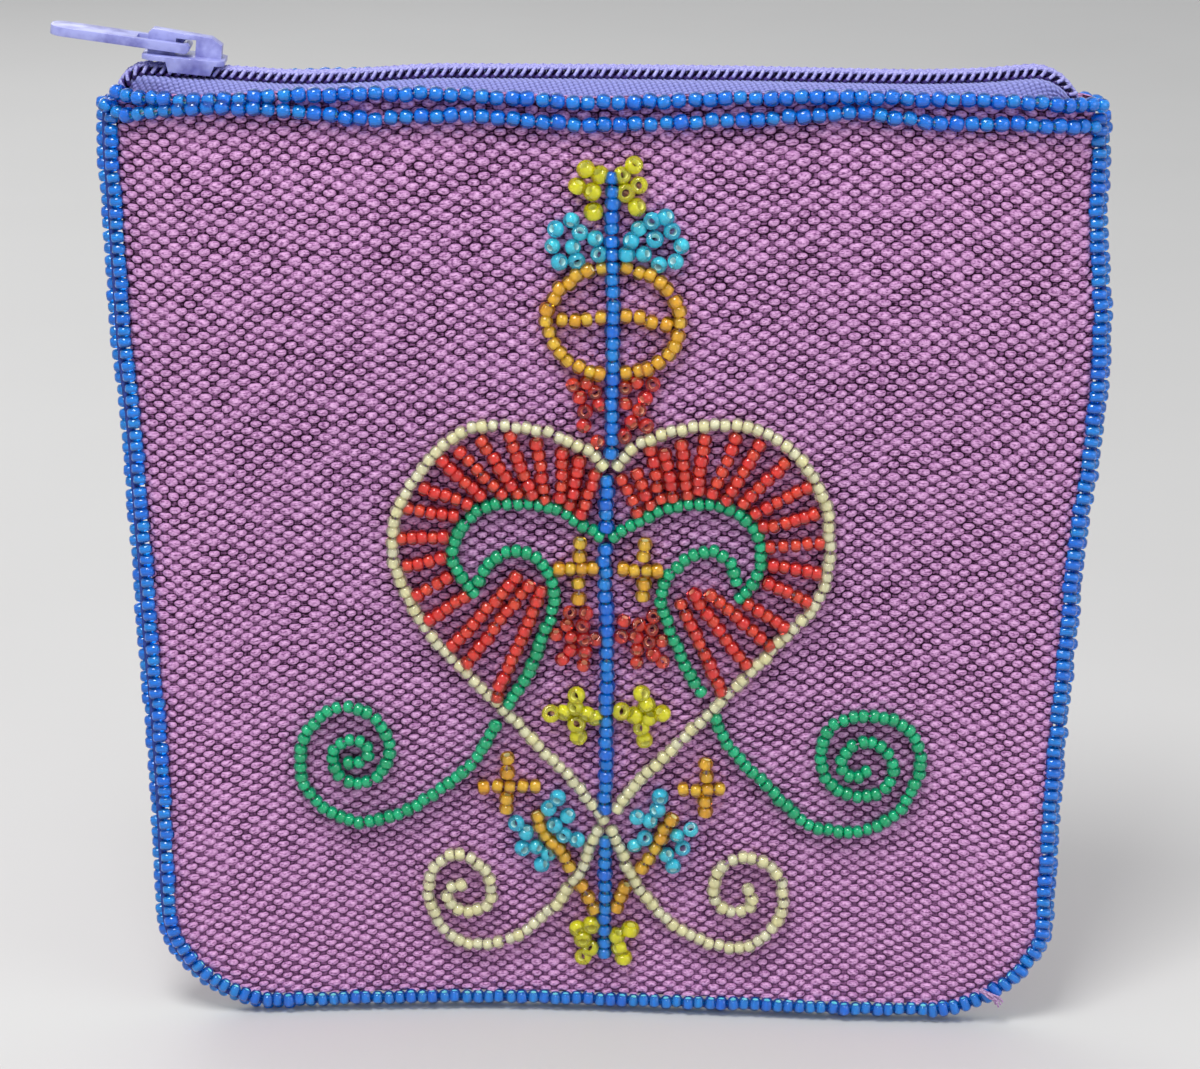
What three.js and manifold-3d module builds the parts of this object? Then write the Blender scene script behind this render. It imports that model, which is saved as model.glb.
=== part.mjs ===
// A small canvas zip pouch, edged with strings of glass beads and worked on its front with a beaded
// heart and scrolls. Millimetres, +Z up, front towards -Y. The origin is the middle of the front
// bead string of the bottom edge, on the surface that the pouch stands on.
import * as THREE from 'three';
import { mergeVertices } from 'three/addons/utils/BufferGeometryUtils.js';
import Module from 'manifold-3d';

const wasm = await Module();
wasm.setup();

// Clearances
const FIT_GAP = 0.3;

// Beads
const EDGE_BEAD_RADIUS = 1.05;
const EDGE_BEAD_PITCH = 1.5;
const HEM_BEAD_RADIUS = 0.95;
const HEM_BEAD_PITCH = 1.75;
const MOTIF_BEAD_RADIUS = 0.9;
const BEAD_NECK = 0.72;

// Canvas
const CLOTH = 1.0;
const CANVAS_TOP = 119.5;
const CANVAS_TOP_WIDTH = 115.4;
const CANVAS_BOTTOM_WIDTH = 109.6;
const CORNER_RADIUS = 12;
const MOUTH_DEPTH = 5.5;
const BELLY_DEPTH = 4.5;
const BOTTOM_BOW = 5.8;
const SEAM_ROUNDNESS = 2;
const MOUTH_SQUARENESS = 10;
const MOUTH_RUN = 4;

// Hem strings, below the canvas's top edge
const HEM_UPPER_DROP = 0.6;
const HEM_LOWER_DROP = 3.1;
const HEM_END_MARGIN = 1.3;

// Zip
const ZIP_RISE = 0.9;
const TAPE = 0.4;
const TAPE_DROP = 0.8;
const TAPE_SEWN = 4.0;
const TAPE_FLAT = 3.3;
const TAPE_END_MARGIN = 3.3;
const COIL_WIDTH = 1.3;
const COIL_HEIGHT = 1.0;
const COIL_CURL = 1.6;
const COIL_END_MARGIN = 2.3;

// Slider and its pull
const PLATE = 0.6;
const PLATE_HALF_WIDTH = 2.9;
const LOWER_PLATE_LENGTH = 5.4;
const UPPER_PLATE_FRONT = 5.8;
const UPPER_PLATE_BACK = 4.0;
const PLATE_OVER_COIL = 1.15;
const PLATE_CORNER = 0.8;
const FLANGE = 0.5;
const FLANGE_LENGTH = 6.2;
const FLANGE_TAPER = 0.6;
const TAPE_SLOT = 1.5;
const POST = 0.5;
const POST_LENGTH = 2.4;
const CROWN_WIDTH = 2.0;
const CROWN_HEIGHT = 2.9;
const CROWN_INSET = 0.5;
const CROWN_SHOULDER = 1.6;
const CROWN_SLOPE = 1.3;
const CROWN_ROUND = 0.5;
const WINDOW_WIDTH = 2.4;
const WINDOW_HEIGHT = 2.0;
const WINDOW_PLACE = -0.8;
const SLIDER_END_GAP = 7.6;
const SLIDER_PITCH = THREE.MathUtils.degToRad(5);
const PULL_TILT = THREE.MathUtils.degToRad(7.5);
const PULL_LENGTH = 16.2;
const PULL_WIDTH = 4.5;
const PULL_THICKNESS = 1.1;
const PULL_ARM = 0.95;
const PULL_ARM_LENGTH = 5.9;
const PULL_ARM_LAP = 0.6;
const PULL_ROUND = 1.7;

// Motif: its margins from the canvas's top and foot, and its ring
const MOTIF_TOP_MARGIN = 8.6;
const MOTIF_FOOT_MARGIN = 4.5;
const RING_CENTRE = [0.7, 92.4];
const RING_HALF_WIDTH = 8.0;
const RING_HALF_HEIGHT = 6.5;
const RING_OPENING = 17;
const CROSSBAR_GAP = 2.3;
const RAY_SUNK = 0.6;

// Length of one straight step of a plain strand
const STEP_LENGTH = 3.0;

// Places worked out from the sizes above
const seamHalf = FIT_GAP / 2 + CLOTH;
const edgeReach = FIT_GAP + EDGE_BEAD_RADIUS;
const stringOffset = EDGE_BEAD_RADIUS + FIT_GAP / 2;
const canvasFoot = 2 * EDGE_BEAD_RADIUS + FIT_GAP;
const cornerTop = canvasFoot + CORNER_RADIUS;
const topHalf = CANVAS_TOP_WIDTH / 2;
const footHalf = CANVAS_BOTTOM_WIDTH / 2;
const footStraight = footHalf - CORNER_RADIUS;
const zipHeight = CANVAS_TOP + ZIP_RISE;
const tapeHeight = zipHeight - TAPE_DROP;
const coilInner = POST / 2 + FIT_GAP;
const coilOuter = coilInner + COIL_WIDTH;
const motifFoot = canvasFoot + MOTIF_FOOT_MARGIN;
const motifTop = CANVAS_TOP - MOTIF_TOP_MARGIN;

// Colours and finishes
function finish(colour, roughness, metalness = 0) {
  return new THREE.MeshStandardMaterial({ color: colour, roughness, metalness });
}
const canvasFinish = () => finish(0x9b6f9a, 0.9);
const blueGlass = () => finish(0x1e78d8, 0.15);
const creamGlass = () => finish(0xe6e3b4, 0.2);
const greenGlass = () => finish(0x1f8a4c, 0.15);
const redGlass = () => finish(0xd8452f, 0.15);
const amberGlass = () => finish(0xd9a23a, 0.15);
const yellowGlass = () => finish(0xf0dc6a, 0.15);
const turquoiseGlass = () => finish(0x2fb7c9, 0.15);
const tapeFinish = () => finish(0x8482c8, 0.85);
const coilFinish = () => finish(0x4d4680, 0.45);
const sliderFinish = () => finish(0x8d8bd6, 0.4);

const pouch = new THREE.Group();
pouch.position.y = stringOffset;

function put(name, geometry, material, parent = pouch) {
  const mesh = new THREE.Mesh(geometry, material);
  mesh.name = name;
  parent.add(mesh);
  return mesh;
}

// Joining solids
function solidOf(geometry) {
  const bare = geometry.clone();
  bare.deleteAttribute('normal');
  bare.deleteAttribute('uv');
  const welded = mergeVertices(bare, 1e-4);
  const vertProperties = new Float32Array(welded.attributes.position.array);
  const triVerts = new Uint32Array(welded.index.array);
  return new wasm.Manifold(new wasm.Mesh({ numProp: 3, vertProperties, triVerts }));
}

function joined(geometries) {
  const whole = geometries.map(solidOf).reduce((sum, next) => sum.add(next));
  const mesh = whole.getMesh();
  const geometry = new THREE.BufferGeometry();
  geometry.setAttribute('position', new THREE.BufferAttribute(new Float32Array(mesh.vertProperties), 3));
  geometry.setIndex(new THREE.BufferAttribute(new Uint32Array(mesh.triVerts), 1));
  geometry.computeVertexNormals();
  return geometry;
}

// The pouch's form: how far up the canvas a height is, how wide the canvas is there, where the middle
// of the pouch runs from front to back, and how far the cloth swells from it.
function rise(z) {
  return THREE.MathUtils.clamp((z - canvasFoot) / (CANVAS_TOP - canvasFoot), 0, 1);
}

function halfWidth(z) {
  if (z >= cornerTop) {
    return footHalf + ((topHalf - footHalf) * (z - cornerTop)) / (CANVAS_TOP - cornerTop);
  }
  const below = Math.min(cornerTop - z, CORNER_RADIUS);
  return footStraight + Math.sqrt(CORNER_RADIUS ** 2 - below ** 2);
}

function middle(x, z) {
  return -BOTTOM_BOW * (x / footHalf) ** 2 * (1 - rise(z));
}

function swell(x, z) {
  const up = rise(z);
  const across = Math.min(Math.abs(x) / halfWidth(z), 1);
  const depth = MOUTH_DEPTH * up + 4 * BELLY_DEPTH * up * (1 - up);
  return depth * (1 - across ** (SEAM_ROUNDNESS + MOUTH_SQUARENESS * up ** MOUTH_RUN));
}

// A point on the front (side -1) or back (side 1) cloth, lifted off its outer face.
function onCloth(x, z, side, lift) {
  return new THREE.Vector3(x, middle(x, z) + side * (seamHalf + swell(x, z) + lift), z);
}

function clothNormal(x, z, side) {
  const reach = 0.5;
  const across = onCloth(x + reach, z, side, 0).sub(onCloth(x - reach, z, side, 0));
  const upward = onCloth(x, z + reach, side, 0).sub(onCloth(x, z - reach, side, 0));
  return across.cross(upward).normalize().multiplyScalar(-side);
}

// Heights of the panel's rows: even turns round the corners, even steps up to where the zip tape is sewn
// in, and the hem above it.
function panelHeights() {
  const cornerRows = 5;
  const straightRows = 8;
  const sewnLine = CANVAS_TOP - TAPE_SEWN;
  const heights = [];
  for (let i = 0; i < cornerRows; i += 1) {
    const turn = ((i / cornerRows) * Math.PI) / 2;
    heights.push(canvasFoot + CORNER_RADIUS * (1 - Math.cos(turn)));
  }
  for (let i = 0; i <= straightRows; i += 1) {
    heights.push(THREE.MathUtils.lerp(cornerTop, sewnLine, i / straightRows));
  }
  heights.push(CANVAS_TOP);
  return heights;
}

// One canvas panel: a slab whose grid is laid on the pouch's form.
function panel(side) {
  const columns = 20;
  const heights = panelHeights();
  const rows = heights.length - 1;
  const slab = new THREE.BoxGeometry(2, 1, rows, columns, 1, rows);
  const position = slab.attributes.position;
  for (let i = 0; i < position.count; i += 1) {
    const z = heights[Math.round(position.getZ(i) + rows / 2)];
    const x = halfWidth(z) * Math.sin((position.getX(i) * Math.PI) / 2);
    const outer = position.getY(i) * side > 0;
    const point = onCloth(x, z, side, outer ? 0 : -CLOTH);
    position.setXYZ(i, point.x, point.y, point.z);
  }
  return slab;
}

// A strand of beads (or a plain one) along a curve: a cylinder bent along it, four sided, whose flats
// are size away from the middle at each bead and pinched between the beads.
function strand(curve, outwardAt, rings, size, neck = 1, sides = 4) {
  const rod = new THREE.CylinderGeometry(1, 1, 1, sides, rings, false, Math.PI / sides);
  const corner = 1 / Math.cos(Math.PI / sides);
  const position = rod.attributes.position;
  const stations = [];
  for (let ring = 0; ring <= rings; ring += 1) {
    const along = ring / rings;
    const centre = curve.getPointAt(along);
    const tangent = curve.getTangentAt(along);
    const outward = outwardAt(centre);
    const acrossTo = new THREE.Vector3().crossVectors(tangent, outward).normalize();
    const away = new THREE.Vector3().crossVectors(acrossTo, tangent).normalize();
    stations.push({ centre, acrossTo, away });
  }
  for (let i = 0; i < position.count; i += 1) {
    const ring = Math.round((position.getY(i) + 0.5) * rings);
    const { centre, acrossTo, away } = stations[ring];
    const reach = size * corner * (ring % 2 ? 1 : neck);
    const point = centre.clone();
    point.addScaledVector(acrossTo, position.getX(i) * reach);
    point.addScaledVector(away, position.getZ(i) * reach);
    position.setXYZ(i, point.x, point.y, point.z);
  }
  return rod;
}

function plain(curve, outwardAt, size) {
  const steps = Math.max(1, Math.round(curve.getLength() / STEP_LENGTH));
  return strand(curve, outwardAt, steps, size);
}

// A sewn string shows each of its beads on the front and is a plain strand on the back.
function beadString(curve, outwardAt, side, pitch, size) {
  if (side > 0) return plain(curve, outwardAt, size);
  const beads = Math.max(1, Math.round(curve.getLength() / pitch));
  return strand(curve, outwardAt, 2 * beads, size, BEAD_NECK);
}

// Canvas edging: two strings side by side round the sides and the bottom.
function edgeCurve(outline, side) {
  const points = outline.map(([x, z]) => new THREE.Vector3(x, middle(x, z) + side * stringOffset, z));
  return new THREE.CatmullRomCurve3(points, false, 'centripetal');
}

function edgeSideOutline(hand) {
  const top = CANVAS_TOP - HEM_UPPER_DROP;
  const outline = [];
  const sideSteps = 8;
  for (let i = 0; i < sideSteps; i += 1) {
    const z = THREE.MathUtils.lerp(top, cornerTop, i / sideSteps);
    outline.push([hand * (halfWidth(z) + edgeReach), z]);
  }
  const cornerSteps = 6;
  for (let i = 0; i <= cornerSteps; i += 1) {
    const turn = ((i / cornerSteps) * Math.PI) / 2;
    const radius = CORNER_RADIUS + edgeReach;
    outline.push([hand * (footStraight + radius * Math.cos(turn)), cornerTop - radius * Math.sin(turn)]);
  }
  return outline;
}

function edgeBottomOutline() {
  const reach = footStraight - FIT_GAP;
  const steps = 8;
  return Array.from({ length: steps + 1 }, (_, i) => [(2 * i / steps - 1) * reach, EDGE_BEAD_RADIUS]);
}

function flatUnderside(geometry) {
  const position = geometry.attributes.position;
  for (let i = 0; i < position.count; i += 1) {
    if (position.getZ(i) < EDGE_BEAD_RADIUS) position.setZ(i, 0);
  }
  return geometry;
}

function edging(label, side) {
  const forward = () => new THREE.Vector3(0, side, 0);
  const string = (outline) => {
    return beadString(edgeCurve(outline, side), forward, side, EDGE_BEAD_PITCH, EDGE_BEAD_RADIUS);
  };
  put(`edge_beads_${label}_left`, string(edgeSideOutline(-1)), blueGlass());
  put(`edge_beads_${label}_bottom`, flatUnderside(string(edgeBottomOutline())), blueGlass());
  put(`edge_beads_${label}_right`, string(edgeSideOutline(1)), blueGlass());
}

// Strings sewn along the mouth's hem, on the outside of each panel.
function hemString(name, side, drop) {
  const z = CANVAS_TOP - drop;
  const end = topHalf - HEM_END_MARGIN;
  const steps = 26;
  const points = [];
  for (let i = 0; i <= steps; i += 1) {
    const x = end * Math.sin((2 * i / steps - 1) * (Math.PI / 2));
    points.push(onCloth(x, z, side, 0).addScaledVector(clothNormal(x, z, side), FIT_GAP + HEM_BEAD_RADIUS));
  }
  const curve = new THREE.CatmullRomCurve3(points, false, 'centripetal');
  const outward = (p) => clothNormal(p.x, z, side);
  put(name, beadString(curve, outward, side, HEM_BEAD_PITCH, HEM_BEAD_RADIUS), blueGlass());
}

// The zip: a tape sewn inside each hem, a coil along each tape, with the slider's slot between them.
function mouthInside(x, z) {
  return FIT_GAP / 2 + swell(x, z);
}

function tape(side) {
  const steps = 24;
  const folds = 3;
  const end = topHalf - TAPE_END_MARGIN;
  const strip = new THREE.BoxGeometry(2, folds, 1, steps, folds, 1);
  const position = strip.attributes.position;
  const hang = FIT_GAP + TAPE / 2;
  for (let i = 0; i < position.count; i += 1) {
    const x = end * Math.sin((position.getX(i) * Math.PI) / 2);
    const hemAt = mouthInside(x, CANVAS_TOP) - hang;
    const sewnAt = mouthInside(x, CANVAS_TOP - TAPE_SEWN) - hang;
    const section = [
      [coilOuter + FIT_GAP, tapeHeight],
      [Math.min(TAPE_FLAT, hemAt), tapeHeight],
      [hemAt, CANVAS_TOP - HEM_UPPER_DROP],
      [sewnAt, CANVAS_TOP - TAPE_SEWN],
    ];
    const fold = Math.round(position.getY(i) * side + folds / 2);
    const [y, z] = section[fold];
    const before = section[Math.max(fold - 1, 0)];
    const after = section[Math.min(fold + 1, folds)];
    const run = new THREE.Vector2(after[0] - before[0], after[1] - before[1]).normalize();
    const off = TAPE * position.getZ(i);
    position.setXYZ(i, x, side * (y - run.y * off), z + run.x * off);
  }
  return strip;
}

function coil(side) {
  const end = topHalf - COIL_END_MARGIN - COIL_CURL;
  const y = side * (coilInner + COIL_WIDTH / 2);
  const points = [];
  const curlSteps = 4;
  for (let i = 0; i <= curlSteps; i += 1) {
    const turn = ((i / curlSteps) * Math.PI) / 2;
    points.push([-end - COIL_CURL * Math.cos(turn), zipHeight - COIL_CURL * (1 - Math.sin(turn))]);
  }
  const mirrored = points.map(([x, z]) => [-x, z]).reverse();
  const route = [...points, ...mirrored].map(([x, z]) => new THREE.Vector3(x, y, z));
  const rod = new THREE.BoxGeometry(COIL_WIDTH, COIL_HEIGHT, 1, 1, 1, route.length - 1);
  const position = rod.attributes.position;
  for (let i = 0; i < position.count; i += 1) {
    const station = Math.round((position.getZ(i) + 0.5) * (route.length - 1));
    const before = route[Math.max(station - 1, 0)];
    const after = route[Math.min(station + 1, route.length - 1)];
    const run = after.clone().sub(before).normalize();
    const up = new THREE.Vector3(-run.z, 0, run.x);
    const point = route[station].clone().addScaledVector(up, position.getY(i));
    position.setXYZ(i, point.x, point.y + position.getX(i), point.z);
  }
  return rod;
}

// One of the slider's plates: a rectangle with its corners cut off.
function plate(front, back, bottom) {
  const side = PLATE_HALF_WIDTH;
  const cutSide = PLATE_HALF_WIDTH - PLATE_CORNER;
  const shape = new THREE.Shape();
  shape.moveTo(-front, -cutSide);
  shape.lineTo(-front + PLATE_CORNER, -side);
  shape.lineTo(back - PLATE_CORNER, -side);
  shape.lineTo(back, -cutSide);
  shape.lineTo(back, cutSide);
  shape.lineTo(back - PLATE_CORNER, side);
  shape.lineTo(-front + PLATE_CORNER, side);
  shape.lineTo(-front, cutSide);
  const geometry = new THREE.ExtrudeGeometry(shape, { depth: PLATE, bevelEnabled: false });
  return geometry.translate(0, 0, bottom);
}

function box(x0, x1, y0, y1, z0, z1) {
  const geometry = new THREE.BoxGeometry(x1 - x0, y1 - y0, z1 - z0);
  return geometry.translate((x0 + x1) / 2, (y0 + y1) / 2, (z0 + z1) / 2);
}

// The crown over the upper plate, with a window for the pull's bar.
function crown(bottom, top) {
  const front = -UPPER_PLATE_FRONT + CROWN_INSET;
  const back = UPPER_PLATE_BACK - CROWN_INSET;
  const ridge = top + CROWN_HEIGHT;
  const outline = new THREE.Shape();
  outline.moveTo(front, bottom);
  outline.lineTo(back, bottom);
  outline.lineTo(back, top + CROWN_SHOULDER);
  outline.lineTo(back - CROWN_SLOPE, ridge - CROWN_ROUND);
  outline.lineTo(front + CROWN_ROUND, ridge);
  outline.lineTo(front, ridge - CROWN_ROUND);
  const [left, right] = [WINDOW_PLACE - WINDOW_WIDTH / 2, WINDOW_PLACE + WINDOW_WIDTH / 2];
  const opening = new THREE.Path();
  opening.moveTo(left, top);
  opening.lineTo(right, top);
  opening.lineTo(right, top + WINDOW_HEIGHT);
  opening.lineTo(left, top + WINDOW_HEIGHT);
  outline.holes.push(opening);
  const body = new THREE.ExtrudeGeometry(outline, { depth: CROWN_WIDTH, bevelEnabled: false });
  return body.rotateX(Math.PI / 2).translate(0, CROWN_WIDTH / 2, 0);
}

// A flange down one side of the slider, narrower towards its foot.
function flange(side, bottom, top) {
  const half = FLANGE_LENGTH / 2;
  const shape = new THREE.Shape();
  shape.moveTo(-half + FLANGE_TAPER, bottom);
  shape.lineTo(half - FLANGE_TAPER, bottom);
  shape.lineTo(half, top);
  shape.lineTo(-half, top);
  const body = new THREE.ExtrudeGeometry(shape, { depth: FLANGE, bevelEnabled: false });
  return body.rotateX(Math.PI / 2).translate(0, side * (PLATE_HALF_WIDTH - FLANGE / 2) + FLANGE / 2, 0);
}

// The slider, about the coils' centre line: two plates held apart by a post that runs between the
// coils, flanges beside the coils that leave a slot for the tapes, and the crown.
function slider() {
  const top = PLATE_OVER_COIL + PLATE;
  const slotTop = -TAPE_DROP + TAPE_SLOT / 2;
  const slotFoot = -TAPE_DROP - TAPE_SLOT / 2;
  const half = LOWER_PLATE_LENGTH / 2;
  const [postFront, postBack] = [WINDOW_PLACE - POST_LENGTH / 2, WINDOW_PLACE + POST_LENGTH / 2];
  return joined([
    plate(UPPER_PLATE_FRONT, UPPER_PLATE_BACK, PLATE_OVER_COIL),
    plate(half, half, slotFoot - PLATE),
    box(postFront, postBack, -POST / 2, POST / 2, slotFoot - PLATE, top),
    crown(PLATE_OVER_COIL, top),
    flange(-1, slotTop, top),
    flange(1, slotTop, top),
  ]);
}

// The pull, about its hinge: a bar through the crown's window, two arms either side of the crown and
// a flat tab with a round end.
function pull() {
  const armIn = CROWN_WIDTH / 2 + FIT_GAP;
  const armOut = armIn + PULL_ARM;
  const half = PULL_THICKNESS / 2;
  const bar = new THREE.CylinderGeometry(half, half, 2 * armOut, 12);
  const pieces = [bar];
  for (const side of [-1, 1]) {
    const [y0, y1] = [side * armIn, side * armOut].sort((a, b) => a - b);
    pieces.push(box(-PULL_ARM_LENGTH - PULL_ARM_LAP, 0, y0, y1, -half, half));
  }
  const tab = new THREE.Shape();
  const roundAt = -PULL_LENGTH + PULL_ROUND;
  const cornerSide = PULL_WIDTH / 2 - PULL_ROUND;
  tab.moveTo(-PULL_ARM_LENGTH, -PULL_WIDTH / 2);
  tab.lineTo(-PULL_ARM_LENGTH, PULL_WIDTH / 2);
  tab.lineTo(roundAt, PULL_WIDTH / 2);
  tab.absarc(roundAt, cornerSide, PULL_ROUND, Math.PI / 2, Math.PI, false);
  tab.absarc(roundAt, -cornerSide, PULL_ROUND, Math.PI, 1.5 * Math.PI, false);
  const extrusion = { depth: PULL_THICKNESS, bevelEnabled: false, curveSegments: 4 };
  const tabBody = new THREE.ExtrudeGeometry(tab, extrusion);
  tabBody.translate(0, 0, -half);
  pieces.push(tabBody);
  return joined(pieces);
}

// Motif strings. Their points are drawn in millimetres, across from the pouch's middle and up from the
// table, and then scaled to the motif's margins.
const motifFacing = (p) => clothNormal(p.x, p.z, -1);

function motifPoint([across, up], lift) {
  const x = across * motifUnit;
  const z = motifFoot + (up - drawnFoot) * motifUnit;
  return onCloth(x, z, -1, 0).addScaledVector(clothNormal(x, z, -1), lift);
}

function motifStrand(points) {
  const places = points.map((point) => motifPoint(point, FIT_GAP + MOTIF_BEAD_RADIUS));
  const curve = new THREE.CatmullRomCurve3(places, false, 'centripetal');
  return plain(curve, motifFacing, MOTIF_BEAD_RADIUS);
}

function motifNode(name, material, ...lines) {
  const strands = lines.map(motifStrand);
  put(name, strands.length > 1 ? joined(strands) : strands[0], material);
}

// A round scroll: points on a circle whose radius changes evenly as it turns.
function scroll(centre, startRadius, endRadius, startTurn, endTurn, steps) {
  return Array.from({ length: steps + 1 }, (_, i) => {
    const radius = THREE.MathUtils.lerp(startRadius, endRadius, i / steps);
    const turn = THREE.MathUtils.degToRad(THREE.MathUtils.lerp(startTurn, endTurn, i / steps));
    return [centre[0] + radius * Math.cos(turn), centre[1] + radius * Math.sin(turn)];
  });
}

// The blue spine, broken where the heart, the scrolls and the tails cross it.
const SPINE = [
  [[0.3, 110], [0.6, 92], [0.7, 78]],
  [[0.3, 72.6], [0.1, 68.4]],
  [[0.1, 63.4], [0.5, 42], [0.4, 31.6]],
  [[0.5, 21.4], [0.6, 7.2]],
];

// The ring and its crossbar, in two halves either side of the spine.
function ringHalf(hand) {
  const steps = 10;
  return Array.from({ length: steps + 1 }, (_, i) => {
    const turn = THREE.MathUtils.degToRad(THREE.MathUtils.lerp(RING_OPENING, 180 - RING_OPENING, i / steps));
    return [
      RING_CENTRE[0] + hand * RING_HALF_WIDTH * Math.sin(turn),
      RING_CENTRE[1] + RING_HALF_HEIGHT * Math.cos(turn),
    ];
  });
}

function crossbar(hand) {
  return [
    [RING_CENTRE[0] + hand * CROSSBAR_GAP, RING_CENTRE[1]],
    [RING_CENTRE[0] + hand * RING_HALF_WIDTH, RING_CENTRE[1]],
  ];
}

// The heart's two sides. The left one runs on through the crossing into the right tail.
const HEART_LEFT = [
  [-1.2, 75.6], [-4.7, 77.6], [-11, 79.3], [-16.2, 79.2], [-20.6, 76.3], [-23.7, 71.3], [-25.7, 65],
  [-25.1, 59.5], [-20.8, 51.6], [-14.9, 44.6], [-8, 37.4], [-1.7, 30], [1.7, 25.9], [3.5, 19.7],
  [8.5, 13.1], [14.2, 9.9], [19.2, 9.9], [22.7, 13.9], [22.8, 19.2], [18.6, 22], [15.2, 20.4],
  [14.8, 16.2], [17, 14.4],
];
const HEART_RIGHT = [
  [2.4, 75.8], [5.9, 78.1], [12.8, 79.6], [18.6, 79.2], [23.3, 75.8], [26.1, 71.4], [27.3, 65],
  [27, 58.9], [21.9, 52.1], [16.3, 45.3], [9, 37.7], [2.6, 30.2],
];
const TAIL_LEFT = [
  [-1.2, 23.6], [-2.8, 19], [-7.4, 13.2], [-12.6, 9.6], [-17.3, 9.5], [-21.1, 13.7], [-21.3, 19.5],
  [-18, 22], [-14.4, 20], [-14.1, 15.6], [-17, 14],
];

// The green scrolls: an arch over each lobe, a hook under it, and a curl outside the heart.
const ARCH_LEFT = [
  [-1.5, 66.3], [-6.2, 69.1], [-12, 69.5], [-16, 68.2], [-18.4, 63.6], [-17.9, 60.8], [-16.8, 59],
];
const ARCH_RIGHT = [
  [2.1, 66.5], [6, 68.7], [12.8, 70], [16.6, 68.4], [19, 63.6], [18.6, 60.2], [17.3, 58.4],
];
const HOOK_LEFT = [
  [-14.6, 60.8], [-12.2, 63.2], [-8.4, 63], [-5.9, 58.6], [-7.4, 52.6], [-8.6, 48.4], [-10.9, 44.5],
];
const HOOK_RIGHT = [
  [15.2, 61.4], [12.8, 63.8], [8.9, 61.9], [7.1, 58.2], [8.9, 51.4], [10.9, 47.4], [12.2, 44.4],
];
const CURL_LEFT = [
  [-13.4, 39.8], [-15.6, 35.8], [-19.4, 31.8], [-24.2, 28.4], [-29, 26.7],
  ...scroll([-31.6, 34.9], 7.7, 2.8, -100, -450, 12),
];
const CURL_RIGHT = [
  [14.6, 39.6], [17.9, 35.1], [22, 31], [26, 27], [30, 26],
  ...scroll([33.2, 34.9], 8.4, 3.0, -80, 270, 12),
];

// Small figures: buds by the spine, crosses, blossoms and flowers, left then right.
const RED_BUD = [
  [[[-4.1, 84.6], [-1.9, 83], [-2.3, 81.2], [-2.7, 79.8]]],
  [[[5.4, 84.6], [3.2, 82.6], [3.5, 81], [3.9, 79.8]]],
];
const YELLOW_BUD = [
  [[[-2.8, 110.7], [-2.1, 108.3], [-2.1, 105.4]], [[-4.2, 108.9], [-2.1, 108]]],
  [[[3.2, 110.9], [2.8, 108.3], [3.2, 105.8]], [[4.6, 109.2], [2.8, 108]]],
];
const TURQUOISE_BUD = [
  [[[-4.8, 104.8], [-2, 101]], [[-6.9, 102], [-2, 102]], [[-6, 99.8], [-3, 103.6]]],
  [[[6.8, 105.1], [3.2, 101]], [[8.6, 102], [3, 102.4]], [[7.6, 99.6], [4.4, 104]]],
];
const AMBER_CROSS = [
  [[[-3.2, 64.6], [-3.2, 57.5]], [[-4.9, 61.3], [-2.1, 61.3]]],
  [[[4.7, 64.7], [4.7, 57.6]], [[2.4, 61.2], [5.6, 61.2]]],
];
const RED_BLOSSOM = [
  [[[-4.2, 55.4], [-2.6, 48.9]], [[-2.4, 55.3], [-4.8, 49.6]], [[-5.4, 52.6], [-2, 52.4]]],
  [[[5.7, 55.2], [4.1, 49.2]], [[2.9, 54.6], [6.4, 49.6]], [[2.7, 52.5], [6.8, 52]]],
];
const YELLOW_CROSS = [
  [[[-3.3, 44.5], [-3.1, 38.9]], [[-6.2, 41.9], [-1.9, 41.7]]],
  [[[5.1, 44.5], [5, 38.7]], [[2.8, 42.2], [7.2, 42]]],
];
const LOW_CROSS = [
  [[[-11.9, 35.4], [-11.9, 28.6]], [[-14.7, 31.7], [-8.6, 31.7]]],
  [[[13, 35.2], [13, 28.6]], [[10.2, 31.7], [15.2, 31.7]]],
];
const FLOWER = [
  [
    [[-8.1, 27.5], [-6.4, 23.9], [-4.8, 21.6]], [[-5.6, 30], [-8, 26.9]], [[-4.4, 27.6], [-7.4, 25.8]],
    [[-10.6, 26.6], [-6.8, 24.9]], [[-9.6, 23], [-6.4, 24]], [[-7.4, 21], [-6, 23.2]],
  ],
  [
    [[8.9, 27.4], [7.6, 24.3], [5.6, 21]], [[7.2, 30.3], [8.6, 26.6]], [[5, 27.4], [8.2, 25.6]],
    [[11.2, 26], [7.8, 25]], [[10.4, 23], [7.4, 24]], [[8.8, 20.6], [6.8, 22.8]],
  ],
];
const FOOT_BUD = [
  [[[-3.2, 10.9], [-1.9, 9.6], [-1.8, 7.3]]],
  [[[4, 11], [2.9, 9.6], [3, 6.9]]],
];

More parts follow.
